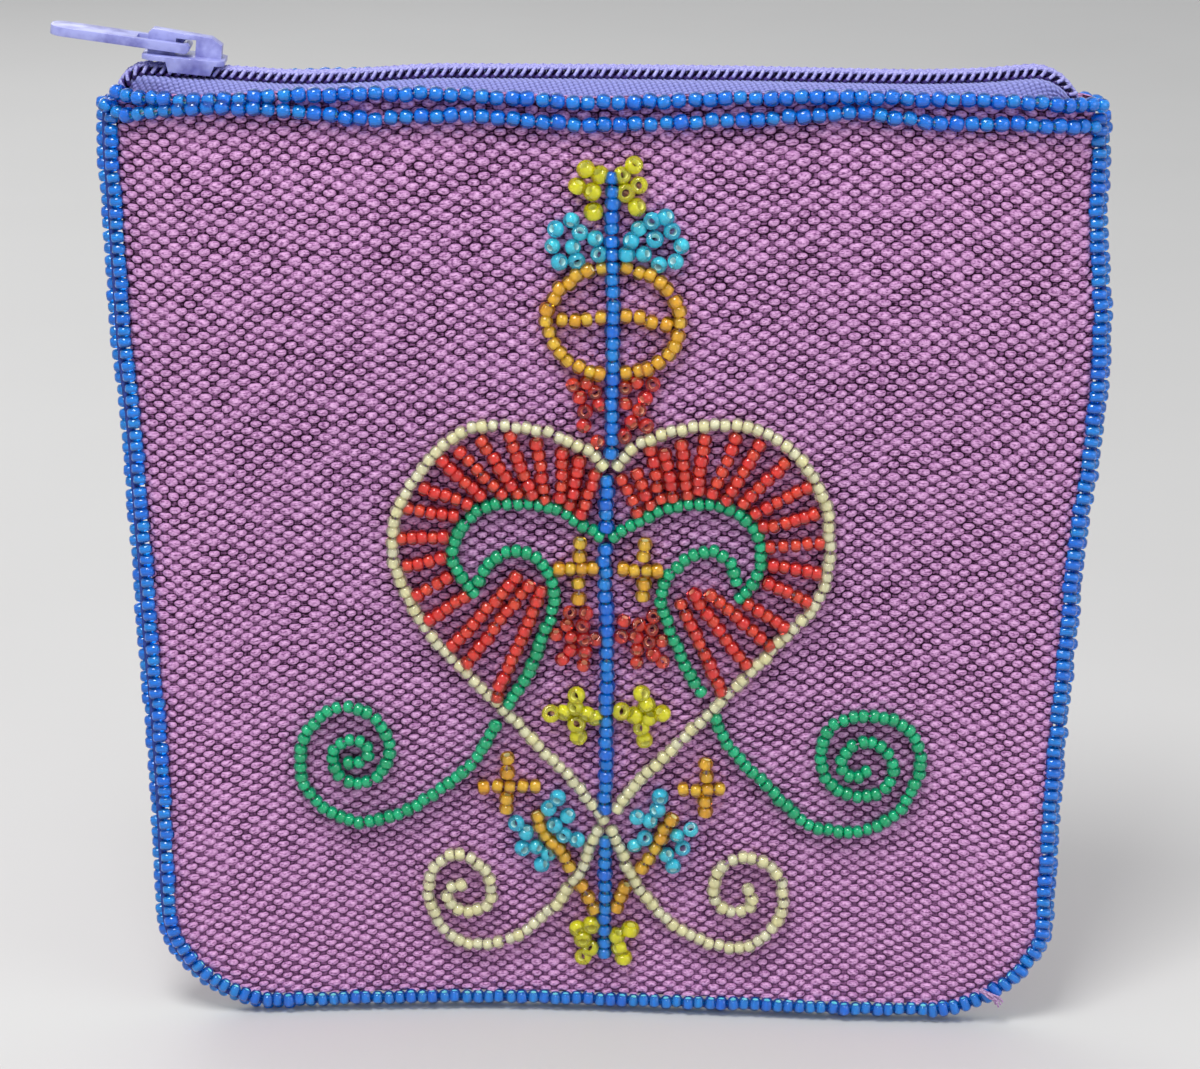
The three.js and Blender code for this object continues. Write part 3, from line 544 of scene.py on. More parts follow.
def knot_group():
    """The dome of the nearest knot, and that knot's own number, from thread coordinates."""
    tree, given = new_group(
        "knot", "ShaderNodeTree",
        {"Threads": "Vector", "Shift": "Float", "Half Length": "Float", "Half Height": "Float"},
        {"Dome": "Float", "Number": "Float"})
    thread = add_node(tree, "ShaderNodeSeparateXYZ", {0: given["Threads"]}).outputs
    u, v = calc(tree, "ADD", thread["X"], given["Shift"]), thread["Y"]
    rising = calc(tree, "ROUND", calc(tree, "MULTIPLY", calc(tree, "ADD", u, v), 0.5))
    falling = calc(tree, "ROUND", calc(tree, "MULTIPLY", calc(tree, "SUBTRACT", u, v), 0.5))
    cell = add_node(tree, "ShaderNodeCombineXYZ", {"X": rising, "Y": falling, "Z": given["Shift"]})
    number = add_node(tree, "ShaderNodeTexWhiteNoise", {"Vector": cell.outputs[0]}, noise_dimensions="3D")
    size = spread(tree, number.outputs["Value"], 0.0, 1.0, *KNOT_SIZES)
    reach = []
    for off, half in ((calc(tree, "SUBTRACT", u, calc(tree, "ADD", rising, falling)), "Half Length"),
                      (calc(tree, "SUBTRACT", v, calc(tree, "SUBTRACT", rising, falling)), "Half Height")):
        share = calc(tree, "DIVIDE", calc(tree, "ABSOLUTE", off), calc(tree, "MULTIPLY", size, given[half]))
        reach.append(calc(tree, "POWER", share, KNOT_FULLNESS))
    inside = calc(tree, "SUBTRACT", 1.0, calc(tree, "ADD", *reach))
    add_node(tree, "NodeGroupOutput", {"Dome": calc(tree, "SQRT", calc(tree, "MAXIMUM", inside, 0.0)),
                                       "Number": number.outputs["Value"]})
    return tree


KNOT = knot_group()
print("group", KNOT.name)

# %% [markdown]
# The colour is built up in layers: each weft thread has its own tone, then come paler sides,
# painted light low down, dull patches, a painted highlight of light fibres on the crests, dark
# fibres between, and painted shade in the gaps. A photographed texture would repeat and would
# hold the light it was taken in; these layers don't repeat, though they paint light in too.

# %% Canvas material
# The crest colour is a painted highlight, the two hollow colours are painted shade in the gaps, the lower one
# lighter as painted light, and the faded colour is paler yarn for the sides and painted light low down.
CANVAS_SHADES = {
    "yarn": (0.32, 0.122, 0.305), "light_yarn": (0.45, 0.19, 0.43), "pale_sides_lit_low": (0.56, 0.25, 0.53),
    "dull": (0.30, 0.118, 0.30), "painted_highlight": (0.86, 0.50, 0.82), "between_fibres": (0.11, 0.032, 0.105),
    "painted_shade_hollow": (0.016, 0.003, 0.015), "foot_hollow": (0.11, 0.04, 0.11), "warp": (0.25, 0.10, 0.24),
}
PALER_SIDES = (26 * MM, 58 * MM)     # from the middle: where the cloth starts to get paler, and where it is palest
PAINTED_LIGHT_LOW = (75 * MM, 10 * MM)      # heights of the same
HOLLOW_SHADE_LIGHTENS = (55 * MM, 10 * MM)   # heights where the painted shade in the gaps starts to lighten, and is lightest


def canvas_material():
    """Mauve yarn in knots, with painted highlights on crests, paler sides, painted light low down and painted
    shade in gaps.
    """
    material, tree, shader = new_material("mauve_canvas", Roughness=0.9, Specular_IOR_Level=0.06)
    where = add_node(tree, "ShaderNodeTexCoord").outputs
    weft, warp = (place_group(tree, KNOT, where["UV"], Shift=shift, Half_Length=length, Half_Height=height)
                  for shift, (length, height, _) in ((0.0, WEFT_KNOT), (1.0, WARP_KNOT)))
    fibre = place_group(tree, FIBRE, where["UV"], Fineness=2.6, Stretch=(0.55, 2.6, 1.0))
    place = add_node(tree, "ShaderNodeSeparateXYZ", {0: where["Object"]}).outputs
    outward = calc(tree, "ABSOLUTE", place["X"])
    mottle = noise(tree, where["Object"], 45.0, 4.0)
    shades = CANVAS_SHADES

    yarn = blend_colours(tree, weft["Number"], shades["yarn"], shades["light_yarn"])
    # Paler towards the sides, and paler low down as painted light
    pale_sides_lit_low = calc(tree, "ADD", spread(tree, outward, *PALER_SIDES, 0.0, 0.6),
                 spread(tree, place["Z"], *PAINTED_LIGHT_LOW, 0.0, 0.55))
    yarn = blend_colours(tree, pale_sides_lit_low, yarn, shades["pale_sides_lit_low"])
    yarn = blend_colours(tree, spread(tree, mottle, 0.35, 0.65, 0.0, 0.35), yarn, shades["dull"])
    # Painted highlight: light fibres on the crest of each weft knot
    painted_highlight = calc(tree, "MULTIPLY", spread(tree, fibre["Shade"], 0.25, 0.75),
                 spread(tree, weft["Dome"], 0.35, 0.9))
    yarn = blend_colours(tree, calc(tree, "MULTIPLY", painted_highlight, 0.85), yarn, shades["painted_highlight"])
    dark = spread(tree, fibre["Shade"], 0.4, 0.05, 0.0, 0.75)
    yarn = blend_colours(tree, dark, yarn, shades["between_fibres"])
    # Gaps: painted shade, lighter low down, with lighter bits of warp thread
    bit = calc(tree, "MULTIPLY", spread(tree, warp["Dome"], 0.2, 0.8), spread(tree, fibre["Shade"], 0.3, 0.7))
    painted_shade_hollow = blend_colours(tree, spread(tree, place["Z"], *HOLLOW_SHADE_LIGHTENS, 0.0, 0.7),
                           shades["painted_shade_hollow"], shades["foot_hollow"])
    gap = blend_colours(tree, bit, painted_shade_hollow, shades["warp"])
    colour = blend_colours(tree, spread(tree, weft["Dome"], 0.05, 0.5), gap, yarn)

    relief = calc(tree, "MULTIPLY_ADD", fibre["Height"], 0.6, weft["Dome"])
    relief = calc(tree, "MULTIPLY_ADD", warp["Dome"], 0.35, relief)
    link_look(tree, shader, colour, relief, 0.8, 0.25)
    return material


CANVAS = canvas_material()
print("material", CANVAS.name)

# %% [markdown]
# Each panel of the pouch is one cut of canvas with its edges turned in. A plane with a
# displaced surface would do for a picture, but it has no thickness and no rim. So the woven
# outer face, a plain inner face and the rim between them make one closed sheet. Its flat
# size leaves out what is turned in. A few helpers for finished meshes come first.

# %% Mesh helpers
def add_piece(name, mesh, nodes=(), body="pouch"):
    """Put a finished mesh in the scene, on its body, in place of its CAD nodes."""
    piece = put_in_scene(name, mesh)
    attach(piece, body)
    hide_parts(*nodes)
    return piece


def new_mesh(name, points, faces, edges=()):
    """A mesh from points in millimetres."""
    mesh = bpy.data.meshes.new(name)
    mesh.from_pydata((np.asarray(points) * MM).tolist(), list(edges), list(faces))
    return mesh


def turn_outwards(mesh, sharp_angle=60):
    """Point a closed mesh's faces outwards, smooth but for its sharp edges."""
    work = bmesh.new()
    work.from_mesh(mesh)
    bmesh.ops.recalc_face_normals(work, faces=work.faces)
    work.to_mesh(mesh)
    work.free()
    mesh.shade_smooth()
    mesh.set_sharp_from_angle(angle=math.radians(sharp_angle))


def store(mesh, name, values):
    """Keep one number for each vertex, for a material to read."""
    mesh.attributes.new(name, "FLOAT", "POINT").data.foreach_set("value", values)


def store_threads(mesh, threads):
    """A UV map of thread coordinates, from one pair for each vertex."""
    corners = np.empty(len(mesh.loops), int)
    mesh.loops.foreach_get("vertex_index", corners)
    mesh.uv_layers.new(name="threads").uv.foreach_set("vector", threads[corners].ravel())


print("mesh helpers ready")

# %% Panels
def inner_points(edge):
    """A few points inside the outline, for the plain inner face."""
    across = np.arange(-TOP_HALF, TOP_HALF, INNER_STEP)
    upward = np.arange(CANVAS_FOOT, CANVAS_TOP, INNER_STEP)
    x, z = (axis.ravel() for axis in np.meshgrid(across, upward))
    kept = within(x, z, INNER_MARGIN)
    return fill_outline(edge, x[kept], z[kept])


def canvas_panel(name, side, seed):
    """One panel: the woven outer face, the plain inner face and the rim between them."""
    edge = outline()
    u, v, x, z = woven_points(np.random.default_rng(seed))
    flat, woven = fill_outline(edge, x, z)
    threads = np.concatenate([np.stack(threads_at(*edge.T), -1), np.stack([u, v], -1)])
    lift = WEAVE_DEPTH * (weave_height(*threads.T) - WEAVE_SEAT)
    outside = on_cloth(*flat.T, side) + lift[:, None] * cloth_normal(*flat.T, side)

    inner_flat, plain = inner_points(edge)
    inside = on_cloth(*inner_flat.T, side, -CLOTH)
    base, around = len(flat), len(edge)
    plain = [[base + corner for corner in face] for face in plain]
    rim = [(k, (k + 1) % around, base + (k + 1) % around, base + k) for k in range(around)]

    mesh = new_mesh(name, np.concatenate([outside, inside]), woven + rim + plain)
    turn_outwards(mesh, sharp_angle=75)
    inner_threads = np.stack(threads_at(*inner_flat.T), -1) + (0, CLOTH / WEFT_PITCH)
    store_threads(mesh, np.concatenate([threads, inner_threads]))
    mesh.materials.append(CANVAS)
    return mesh


for node, side, seed in (("front_panel", FRONT, 3), ("back_panel", BACK, 8)):
    panel = add_piece(f"canvas_{node}", canvas_panel(node, side, seed), [node])
    print(panel.name, len(panel.data.polygons), "faces")

# %% [markdown]
# ## Glass beads
# The beads are colour-lined seed beads: clear or tinted glass with paint on the wall of
# the hole. The round glass works as a lens, so the paint looks like a bright core with a
# darker rim. A solid painted ball can't do that, so each bead here is a short glass tube
# with rounded ends, and its hole has a material of its own. Each colour came from another
# hank, with its own size and its own clearness of glass.

# %% Bead materials
BEAD_KINDS = {           # width and pitch in mm, and the share of light that the glass lets through
    "blue": (2.05, 1.55, 0.82),
    "cream": (1.78, 1.32, 0.80),
    "green": (1.76, 1.27, 0.70),
    "red": (1.92, 1.37, 0.92),
    "amber": (2.0, 1.46, 0.9),
    "turquoise": (2.12, 1.60, 0.70),
    "yellow": (2.36, 1.70, 0.72),
}
GLASS_COLOURS = {        # glass, deeper glass, lining, deeper lining
    "blue": ((0.004, 0.34, 1.00), (0.002, 0.22, 0.98), (0.42, 1.00, 1.00), (0.22, 0.88, 1.00)),
    "cream": ((1.00, 0.99, 0.80), (0.99, 0.96, 0.66), (1.00, 1.00, 0.78), (1.00, 0.98, 0.64)),
    "green": ((0.005, 0.66, 0.35), (0.002, 0.50, 0.25), (0.22, 1.00, 0.66), (0.12, 0.92, 0.52)),
    "red": ((1.00, 0.13, 0.07), (0.95, 0.06, 0.07), (1.00, 0.58, 0.38), (1.00, 0.42, 0.30)),
    "amber": ((1.00, 0.66, 0.06), (0.98, 0.50, 0.025), (1.00, 0.98, 0.60), (1.00, 0.90, 0.42)),
    "turquoise": ((0.09, 0.84, 1.00), (0.05, 0.70, 0.98), (0.75, 1.00, 1.00), (0.60, 0.99, 1.00)),
    "yellow": ((1.00, 0.98, 0.025), (0.98, 0.93, 0.012), (1.00, 1.00, 0.34), (1.00, 0.98, 0.24)),
}


def bead_tint_group():
    """A bead's own shade between two colours, from the number it was given."""
    tree, given = new_group("bead_tint", "ShaderNodeTree",
                            {"Light": "Color", "Deep": "Color"}, {"Colour": "Color"})
    tint = add_node(tree, "ShaderNodeAttribute", attribute_name="tint").outputs["Fac"]
    add_node(tree, "NodeGroupOutput", {"Colour": blend_colours(tree, tint, given["Light"], given["Deep"])})
    return tree


BEAD_TINT = bead_tint_group()


def bead_material(name, light, deep, **constants):
    """A bead's glass or its lining, each bead in its own shade."""
    material, tree, shader = new_material(name, **constants)
    tint = add_node(tree, "ShaderNodeGroup", node_tree=BEAD_TINT)
    tint.inputs["Light"].default_value = (*light, 1)
    tint.inputs["Deep"].default_value = (*deep, 1)
    tree.links.new(tint.outputs["Colour"], shader.inputs["Base Color"])
    return material


GLASS, LINING = {}, {}
for colour, (light, deep, lining, deep_lining) in GLASS_COLOURS.items():
    GLASS[colour] = bead_material(f"{colour}_glass", light, deep, Roughness=0.04, IOR=1.52,
                                  Coat_Weight=0.3, Transmission_Weight=BEAD_KINDS[colour][2])
    LINING[colour] = bead_material(f"{colour}_lining", lining, deep_lining, Roughness=0.4)
print(len(GLASS), "kinds of bead")

# %% [markdown]
# The bead's mesh is small, because it is repeated well over a thousand times: a profile
# of seven points turned in twelve steps. Its radius and its length are one unit each, and
# the trees below give it its size.

# %% Bead mesh
BEAD_PROFILE = [(0.42, -0.40), (0.62, -0.50), (0.88, -0.34), (1.0, 0.0), (0.88, 0.34), (0.62, 0.50),
                (0.42, 0.40)]
BEAD_STEPS = 12


def bead_mesh():
    """A short tube with rounded ends, its hole marked for the lining."""
    points, faces = [], []
    size = len(BEAD_PROFILE)
    for step in range(BEAD_STEPS):
        turn = 2 * math.pi * step / BEAD_STEPS
        points += [(r * math.cos(turn), r * math.sin(turn), z) for r, z in BEAD_PROFILE]
        onward = (step + 1) % BEAD_STEPS
        faces += [(step * size + k, onward * size + k, onward * size + (k + 1) % size,
                   step * size + (k + 1) % size) for k in range(size)]
    mesh = bpy.data.meshes.new("bead")
    mesh.from_pydata(points, [], faces)
    turn_outwards(mesh)
    hole = [k % size == size - 1 for k in range(len(faces))]
    mesh.attributes.new("lining", "BOOLEAN", "FACE").data.foreach_set("value", hole)
    return mesh


BEAD = put_in_scene("bead", bead_mesh())
print("bead:", len(BEAD.data.polygons), "faces")

# %% [markdown]
# ## Bead strings
# On the real wallet a needle picks up a row of beads and couches them down along a line.
# A Geometry Nodes tree does the same: it divides a route into bead pitches, sets a bead
# at each, and turns it to the route. Beads are never quite alike, so each one gets a
# seeded change of size, place, tilt and shade. The edging's beads lie across their route,
# so the tree can turn them. A second tree scatters single beads for the small figures.
# Both use one group that sets a bead on a point.

# %% Setting a bead
def vary(tree, spread_socket, seed, vector=False, centre=0.0):
    """A seeded random number, or vector, within a spread of its centre."""
    least, most = calc(tree, "SUBTRACT", centre, spread_socket), calc(tree, "ADD", centre, spread_socket)
    first = 0 if vector else 2
    made = add_node(tree, "FunctionNodeRandomValue",
                    {first: least, first + 1: most, "Seed": seed},
                    data_type="FLOAT_VECTOR" if vector else "FLOAT")
    return made.outputs[0 if vector else 1]


def finish_with(tree, geometry, material, **more):
    """A Set Material node; returns the geometry."""
    return add_node(tree, "GeometryNodeSetMaterial", {
        "Geometry": geometry, "Material": material, **more}).outputs[0]


def round_strand(tree, curve, radius, sides):
    """A closed round strand along a curve; returns the geometry."""
    section = add_node(tree, "GeometryNodeCurvePrimitiveCircle", {"Resolution": sides, "Radius": radius})
    return add_node(tree, "GeometryNodeCurveToMesh", {
        "Curve": curve, "Profile Curve": section.outputs[0], "Fill Caps": True}).outputs[0]


BEAD_INPUTS = {"Bead": "Object", "Radius": "Float", "Length": "Float", "Unevenness": "Float",
               "Drift": "Float", "Tilt": "Float", "Seed": "Int", "Glass": "Material", "Lining": "Material"}


def set_beads_tree():
    """Set a bead on every point, and give each its size, tilt and shade."""
    tree, given = new_group("set_beads", "GeometryNodeTree",
                            {"Points": "Geometry", "Rotation": "Rotation", **BEAD_INPUTS},
                            {"Geometry": "Geometry"})
    seed = given["Seed"]
    bead = add_node(tree, "GeometryNodeObjectInfo", {"Object": given["Bead"], "As Instance": True})
    moved = add_node(tree, "GeometryNodeSetPosition", {
        "Geometry": given["Points"], "Offset": vary(tree, given["Drift"], seed, vector=True)})
    tilt = add_node(tree, "FunctionNodeEulerToRotation", {0: vary(tree, given["Tilt"], seed, vector=True)})
    turned = add_node(tree, "FunctionNodeRotateRotation", {
        "Rotation": given["Rotation"], "Rotate By": tilt.outputs[0]}, rotation_space="LOCAL")
    width, length = (calc(tree, "MULTIPLY", given[side], vary(tree, given["Unevenness"], seed, centre=1.0))
                     for side in ("Radius", "Length"))
    size = add_node(tree, "ShaderNodeCombineXYZ", {"X": width, "Y": width, "Z": length})
    placed = add_node(tree, "GeometryNodeInstanceOnPoints", {
        "Points": moved.outputs[0], "Instance": bead.outputs["Geometry"],
        "Rotation": turned.outputs[0], "Scale": size.outputs[0]})
    shade = add_node(tree, "FunctionNodeRandomValue", {2: 0.0, 3: 1.0, "Seed": seed}, data_type="FLOAT")
    shaded = add_node(tree, "GeometryNodeStoreNamedAttribute", {
        "Geometry": placed.outputs[0], "Name": "tint", "Value": shade.outputs[1]},
        data_type="FLOAT", domain="INSTANCE")
    real = add_node(tree, "GeometryNodeRealizeInstances", {"Geometry": shaded.outputs[0]})
    glass = finish_with(tree, real.outputs[0], given["Glass"])
    hole = add_node(tree, "GeometryNodeInputNamedAttribute", {"Name": "lining"}, data_type="BOOLEAN")
    lined = finish_with(tree, glass, given["Lining"], Selection=hole.outputs[0])
    add_node(tree, "NodeGroupOutput", {"Geometry": lined})
    return tree


SET_BEADS = set_beads_tree()


def bead_setting(tree, given, points, rotation):
    """The shared group, placed in a tree with that tree's own inputs."""
    inputs = {label: given[label] for label in BEAD_INPUTS}
    return add_node(tree, "GeometryNodeGroup", {"Points": points, "Rotation": rotation, **inputs},
                    node_tree=SET_BEADS).outputs[0]


print("group", SET_BEADS.name)

# %% [markdown]
# A string's tree also draws the thread, which shows between the beads where a row bends. A
# modifier that repeats a bead along a curve would stretch the beads in the bends, and this
# tree only turns them.

# %% Trees for strings and clusters
THREAD_SIDES = 5
CLUSTER_LEAN = math.radians(70)  # of a single bead's hole from upright, towards the viewer


def bead_string_tree():
    """Beads threaded along a route, or set across it as rungs, with the thread that holds them."""
    tree, given = new_group(
        "bead_string", "GeometryNodeTree",
        {"Geometry": "Geometry", "Pitch": "Float", "Across": "Bool", "Thread": "Material",
         "Thread Radius": "Float", **BEAD_INPUTS},
        {"Geometry": "Geometry"})
    route = add_node(tree, "GeometryNodeMeshToCurve", {"Mesh": given["Geometry"]})
    span = add_node(tree, "GeometryNodeSplineLength").outputs["Length"]
    count = calc(tree, "ADD", calc(tree, "ROUND", calc(tree, "DIVIDE", span, given["Pitch"])), 1.0)
    even = add_node(tree, "GeometryNodeResampleCurve", {
        "Curve": route.outputs[0], "Count": count}, mode="COUNT")
    spots = add_node(tree, "GeometryNodeCurveToPoints", {"Curve": even.outputs[0]}, mode="EVALUATED")
    rung = add_node(tree, "ShaderNodeVectorMath", {0: spots.outputs["Tangent"], 1: (0, 1, 0)},
                    operation="CROSS_PRODUCT").outputs[0]
    axis = add_node(tree, "GeometryNodeSwitch", {0: given["Across"], 1: spots.outputs["Tangent"], 2: rung},
                    input_type="VECTOR").outputs[0]
    along = add_node(tree, "FunctionNodeAlignRotationToVector", {"Vector": axis}, axis="Z")
    beads = bead_setting(tree, given, spots.outputs["Points"], along.outputs[0])
    thread = round_strand(tree, even.outputs[0], given["Thread Radius"], THREAD_SIDES)
    spun = finish_with(tree, thread, given["Thread"])
    both = add_node(tree, "GeometryNodeJoinGeometry")
    tree.links.new(spun, both.inputs[0])
    tree.links.new(beads, both.inputs[0])
    add_node(tree, "NodeGroupOutput", {"Geometry": both.outputs[0]})
    return tree


def bead_cluster_tree():
    """Single beads on points, each lying its own way."""
    tree, given = new_group("bead_cluster", "GeometryNodeTree",
                            {"Geometry": "Geometry", **BEAD_INPUTS}, {"Geometry": "Geometry"})
    points = add_node(tree, "GeometryNodeMeshToPoints", {"Mesh": given["Geometry"]})
    upright = add_node(tree, "FunctionNodeEulerToRotation", {0: (CLUSTER_LEAN, 0, 0)})
    beads = bead_setting(tree, given, points.outputs[0], upright.outputs[0])
    add_node(tree, "NodeGroupOutput", {"Geometry": beads})
    return tree


BEAD_STRING = bead_string_tree()
BEAD_CLUSTER = bead_cluster_tree()
print("trees", BEAD_STRING.name, BEAD_CLUSTER.name)

# %% [markdown]
# A route starts as a few points, is rounded to a smooth line, and becomes a mesh of plain
# edges for the tree to read. The result is kept as a plain mesh.

# %% Routes and growing
ROUTE_STEP = 0.4


def way_gone(points):
    """Length along a line, or along several, from its start to each of its points."""
    run = np.linalg.norm(np.diff(points, axis=-2), axis=-1)
    return np.concatenate([np.zeros_like(run[..., :1]), np.cumsum(run, axis=-1)], axis=-1)


def smooth_route(points):
    """A smooth line through points, in short even steps."""
    points = np.asarray(points, float)
    gone = way_gone(points)
    slope = np.gradient(points, gone, axis=0)
    at = np.linspace(0, gone[-1], max(3, round(gone[-1] / ROUTE_STEP)))
    k = np.clip(np.searchsorted(gone, at, side="right") - 1, 0, len(points) - 2)
    span = (gone[k + 1] - gone[k])[:, None]
    t = (at - gone[k])[:, None] / span
    return ((1 + 2 * t) * (1 - t) ** 2 * points[k] + t * (1 - t) ** 2 * span * slope[k]
            + t**2 * (3 - 2 * t) * points[k + 1] + t**2 * (t - 1) * span * slope[k + 1])


def join_routes(routes):
    """Several lines as one set of points and edges."""
    edges, base = [], 0
    for route in routes:
        edges += [(base + k, base + k + 1) for k in range(len(route) - 1)]
        base += len(route)
    return np.concatenate(routes), edges


def grow(name, points, edges, tree, **inputs):
    """Run a tree on a route and keep what it makes as a plain mesh."""
    source = put_in_scene(name, new_mesh(name, points, [], edges))
    modifier = source.modifiers.new(tree.name, "NODES")
    modifier.node_group = tree
    for item in tree.interface.items_tree:
        label = item.name.replace(" ", "_").lower()
        if item.in_out == "INPUT" and label in inputs:
            modifier[item.identifier] = inputs[label]
    depsgraph = bpy.context.evaluated_depsgraph_get()
    mesh = bpy.data.meshes.new_from_object(source.evaluated_get(depsgraph), depsgraph=depsgraph)
    bpy.data.objects.remove(source)
    mesh.name = name
    return mesh


print("routes in steps of", ROUTE_STEP, "mm")

# %% [markdown]
# A piece of beads is one colour on one set of routes, in place of one node of the packed
# model. Size, pitch and looseness come from the kind of bead, and a piece may change them.

# %% Thread and bead pieces
def thread_material(name, dark, light):
    """Spun thread, in two shades."""
    material, tree, shader = new_material(name, Roughness=0.8)
    where = add_node(tree, "ShaderNodeTexCoord").outputs["Object"]
    fibre = place_group(tree, FIBRE, where, Fineness=3500.0, Stretch=(1.0, 1.0, 1.0))
    link_look(tree, shader, blend_colours(tree, fibre["Shade"], dark, light))
    return material


THREAD = thread_material("sewing_thread", (0.26, 0.16, 0.30), (0.52, 0.38, 0.54))
THREAD_RADIUS = 0.12
BEAD_LENGTH = 0.91       # of the pitch
BEAD_UNEVENNESS = 0.07
STRING_DRIFT = 0.12      # how far a bead may lie beside its place
STRING_TILT = 12         # in degrees
CLUSTER_DRIFT = 0.05
CLUSTER_TILT = 55
bead_counts = []


def bead_piece(name, colour, points, edges, tree, nodes, size, **inputs):
    """Grow a piece of beads of one colour with a tree, and count its beads."""
    mesh = grow(name, points, edges, tree, bead=BEAD, glass=GLASS[colour], lining=LINING[colour],
                radius=size["width"] / 2 * MM, length=size["length"] * MM, unevenness=BEAD_UNEVENNESS,
                drift=size["drift"] * MM, tilt=math.radians(size["tilt"]), **inputs)
    lined = np.zeros(len(mesh.polygons), bool)
    mesh.attributes["lining"].data.foreach_get("value", lined)
    bead_counts.append(lined.sum() // BEAD_STEPS)
    return add_piece(name, mesh, nodes)


def string_beads(name, colour, routes, nodes=(), seed=1, across=False, **changes):
    """One piece of strung beads, on routes of points in millimetres."""
    width, pitch, _ = BEAD_KINDS[colour]
    size = {"width": width, "pitch": pitch, "length": BEAD_LENGTH * pitch, "drift": STRING_DRIFT,
            "tilt": STRING_TILT, "thread_radius": THREAD_RADIUS, **changes}
    points, edges = join_routes(routes)
    return bead_piece(name, colour, points, edges, BEAD_STRING, nodes, size, seed=seed, across=across,
                      pitch=size["pitch"] * MM, thread=THREAD, thread_radius=size["thread_radius"] * MM)


def scatter_beads(name, colour, points, nodes=(), seed=1):
    """One piece of single beads, on points in millimetres."""
    width, pitch, _ = BEAD_KINDS[colour]
    size = {"width": width, "length": BEAD_LENGTH * pitch, "drift": CLUSTER_DRIFT, "tilt": CLUSTER_TILT}
    return bead_piece(name, colour, points, [], BEAD_CLUSTER, nodes, size, seed=seed)


print("thread", THREAD.name)

# %% [markdown]
# ## Edging
# Blue beads cover the seam round the sides and the bottom. They are whip-stitched: each
# stitch goes over the edge with two beads on it, so a bead's hole lies across the edge,
# like the rung of a ladder. One bead of each rung lies on the front of the edge and one
# outside it. Both strings get the same number of beads, so the rungs stay together.

# %% Edging strings
EDGE_PITCH = 1.43
EDGE_TOP = 116.4
EDGE_BLEND = 6.0         # over what length the place of the beads changes at a corner
EDGE_CORNER_GAP = 0.6    # of a pitch, between the bottom's beads and those of the sides
EDGE_TILT = 7
EDGE_THREAD = 0.05
EDGE_BEADS = {           # past the canvas's edge, behind the seam's plane, length and width
    "front": {"left": (0.45, -1.75, 1.60, 1.56), "bottom": (0.60, -1.70, 1.40, 1.72),
              "right": (0.42, -1.55, 1.80, 1.56)},
    "back": {"left": (1.75, -0.1, 1.40, 1.56), "bottom": (1.58, 0.1, 1.30, 1.72),
             "right": (1.38, 0.7, 1.46, 1.56)},
}


def edge_line():
    """The canvas's edge down the left, along the foot and up the right, and the part of each point."""
    lines = outline_side(-1)[::-1], foot_line(), outline_side(1)
    return np.concatenate(lines), np.repeat(["left", "bottom", "right"], [len(line) for line in lines])


def edging_routes(face):
    """The ways of one string's three parts, beside the canvas's edge."""
    edge, part = edge_line()
    along = unit(np.gradient(edge, axis=0))
    reach, behind = np.array([EDGE_BEADS[face][name][:2] for name in part]).T
    blend = round(EDGE_BLEND / OUTLINE_STEP)
    window = np.full(2 * blend + 1, 1 / (2 * blend + 1))
    reach, behind = (np.convolve(np.pad(value, blend, "edge"), window, "valid") for value in (reach, behind))
    x, z = (edge + reach[:, None] * np.stack([along[:, 1], -along[:, 0]], -1)).T
    route = np.stack([x, seam_depth(x, z) + behind, z], -1)
    spare = round(EDGE_CORNER_GAP * EDGE_PITCH / OUTLINE_STEP)
    low = edge[:, 1] < EDGE_TOP
    return {"left": route[(part == "left") & low], "bottom": route[part == "bottom"][spare:-spare],
            "right": route[(part == "right") & low]}


routes = {face: edging_routes(face) for face in EDGE_BEADS}
for seed, part in enumerate(routes["front"], start=20):
    rungs = round(way_gone(routes["front"][part])[-1] / EDGE_PITCH)
    for face, beads in EDGE_BEADS.items():
        route = routes[face][part]
        string_beads(f"edging_{face}_{part}", "blue", [route], [f"edge_beads_{face}_{part}"], seed=seed,
                     pitch=way_gone(route)[-1] / rungs, length=beads[part][2], width=beads[part][3],
                     across=True, tilt=EDGE_TILT, thread_radius=EDGE_THREAD)
print(sum(bead_counts), "beads in the edging")

# %% [markdown]
# ## Hem
# Two more blue strings run along the mouth of each panel, a little wavy, with their beads
# set slightly apart.

# %% Hem strings
HEM_WIDTH = 1.92
HEM_PITCH = 1.80
HEM_LENGTH = 1.6
HEM_DRIFT = 0.14
HEM_TILT = 16
HEM_BACK_DROP = 0.4      # of the back's strings under the front's
BEAD_LIFT = 0.95         # from the cloth to the middle of a bead
HEM_LOWER = [(-60.2, 116.4), (-58.6, 115.6), (-56.8, 115.7), (-54.6, 116.3), (-38.7, 117.2),
             (-28.4, 116.2), (-20.9, 116.7), (-2.4, 115.9), (20, 117), (29.6, 117.6), (38.6, 116.6),
             (47.8, 116.4), (57.6, 115.4)]


def cloth_route(points, side=FRONT, lift=BEAD_LIFT):
    """A smooth line on the cloth through points given across and up."""
    line = smooth_route(points)
    return on_cloth(line[:, 0], line[:, 1], side, lift)


for face, side, drop in (("front", FRONT, 0.0), ("back", BACK, HEM_BACK_DROP)):
    for row, line, seed in (("upper", HEM_UPPER, 31), ("lower", HEM_LOWER, 32)):
        lowered = [(x, z - drop) for x, z in line]
        string_beads(f"hem_{face}_{row}", "blue", [cloth_route(lowered, side)],
                     [f"hem_beads_{face}_{row}"], seed=seed + 5 * side, width=HEM_WIDTH,
                     pitch=HEM_PITCH, length=HEM_LENGTH, drift=HEM_DRIFT, tilt=HEM_TILT)
print(sum(bead_counts), "beads with the hem")

# %% [markdown]
# ## The heart and scrolls
# The motif is a traditional line ornament, sewn string by string. Each line is given by
# a few points across and up the front, in millimetres. Where two strings cross, the one
# underneath is broken, as the needle went down there and came up again beyond.

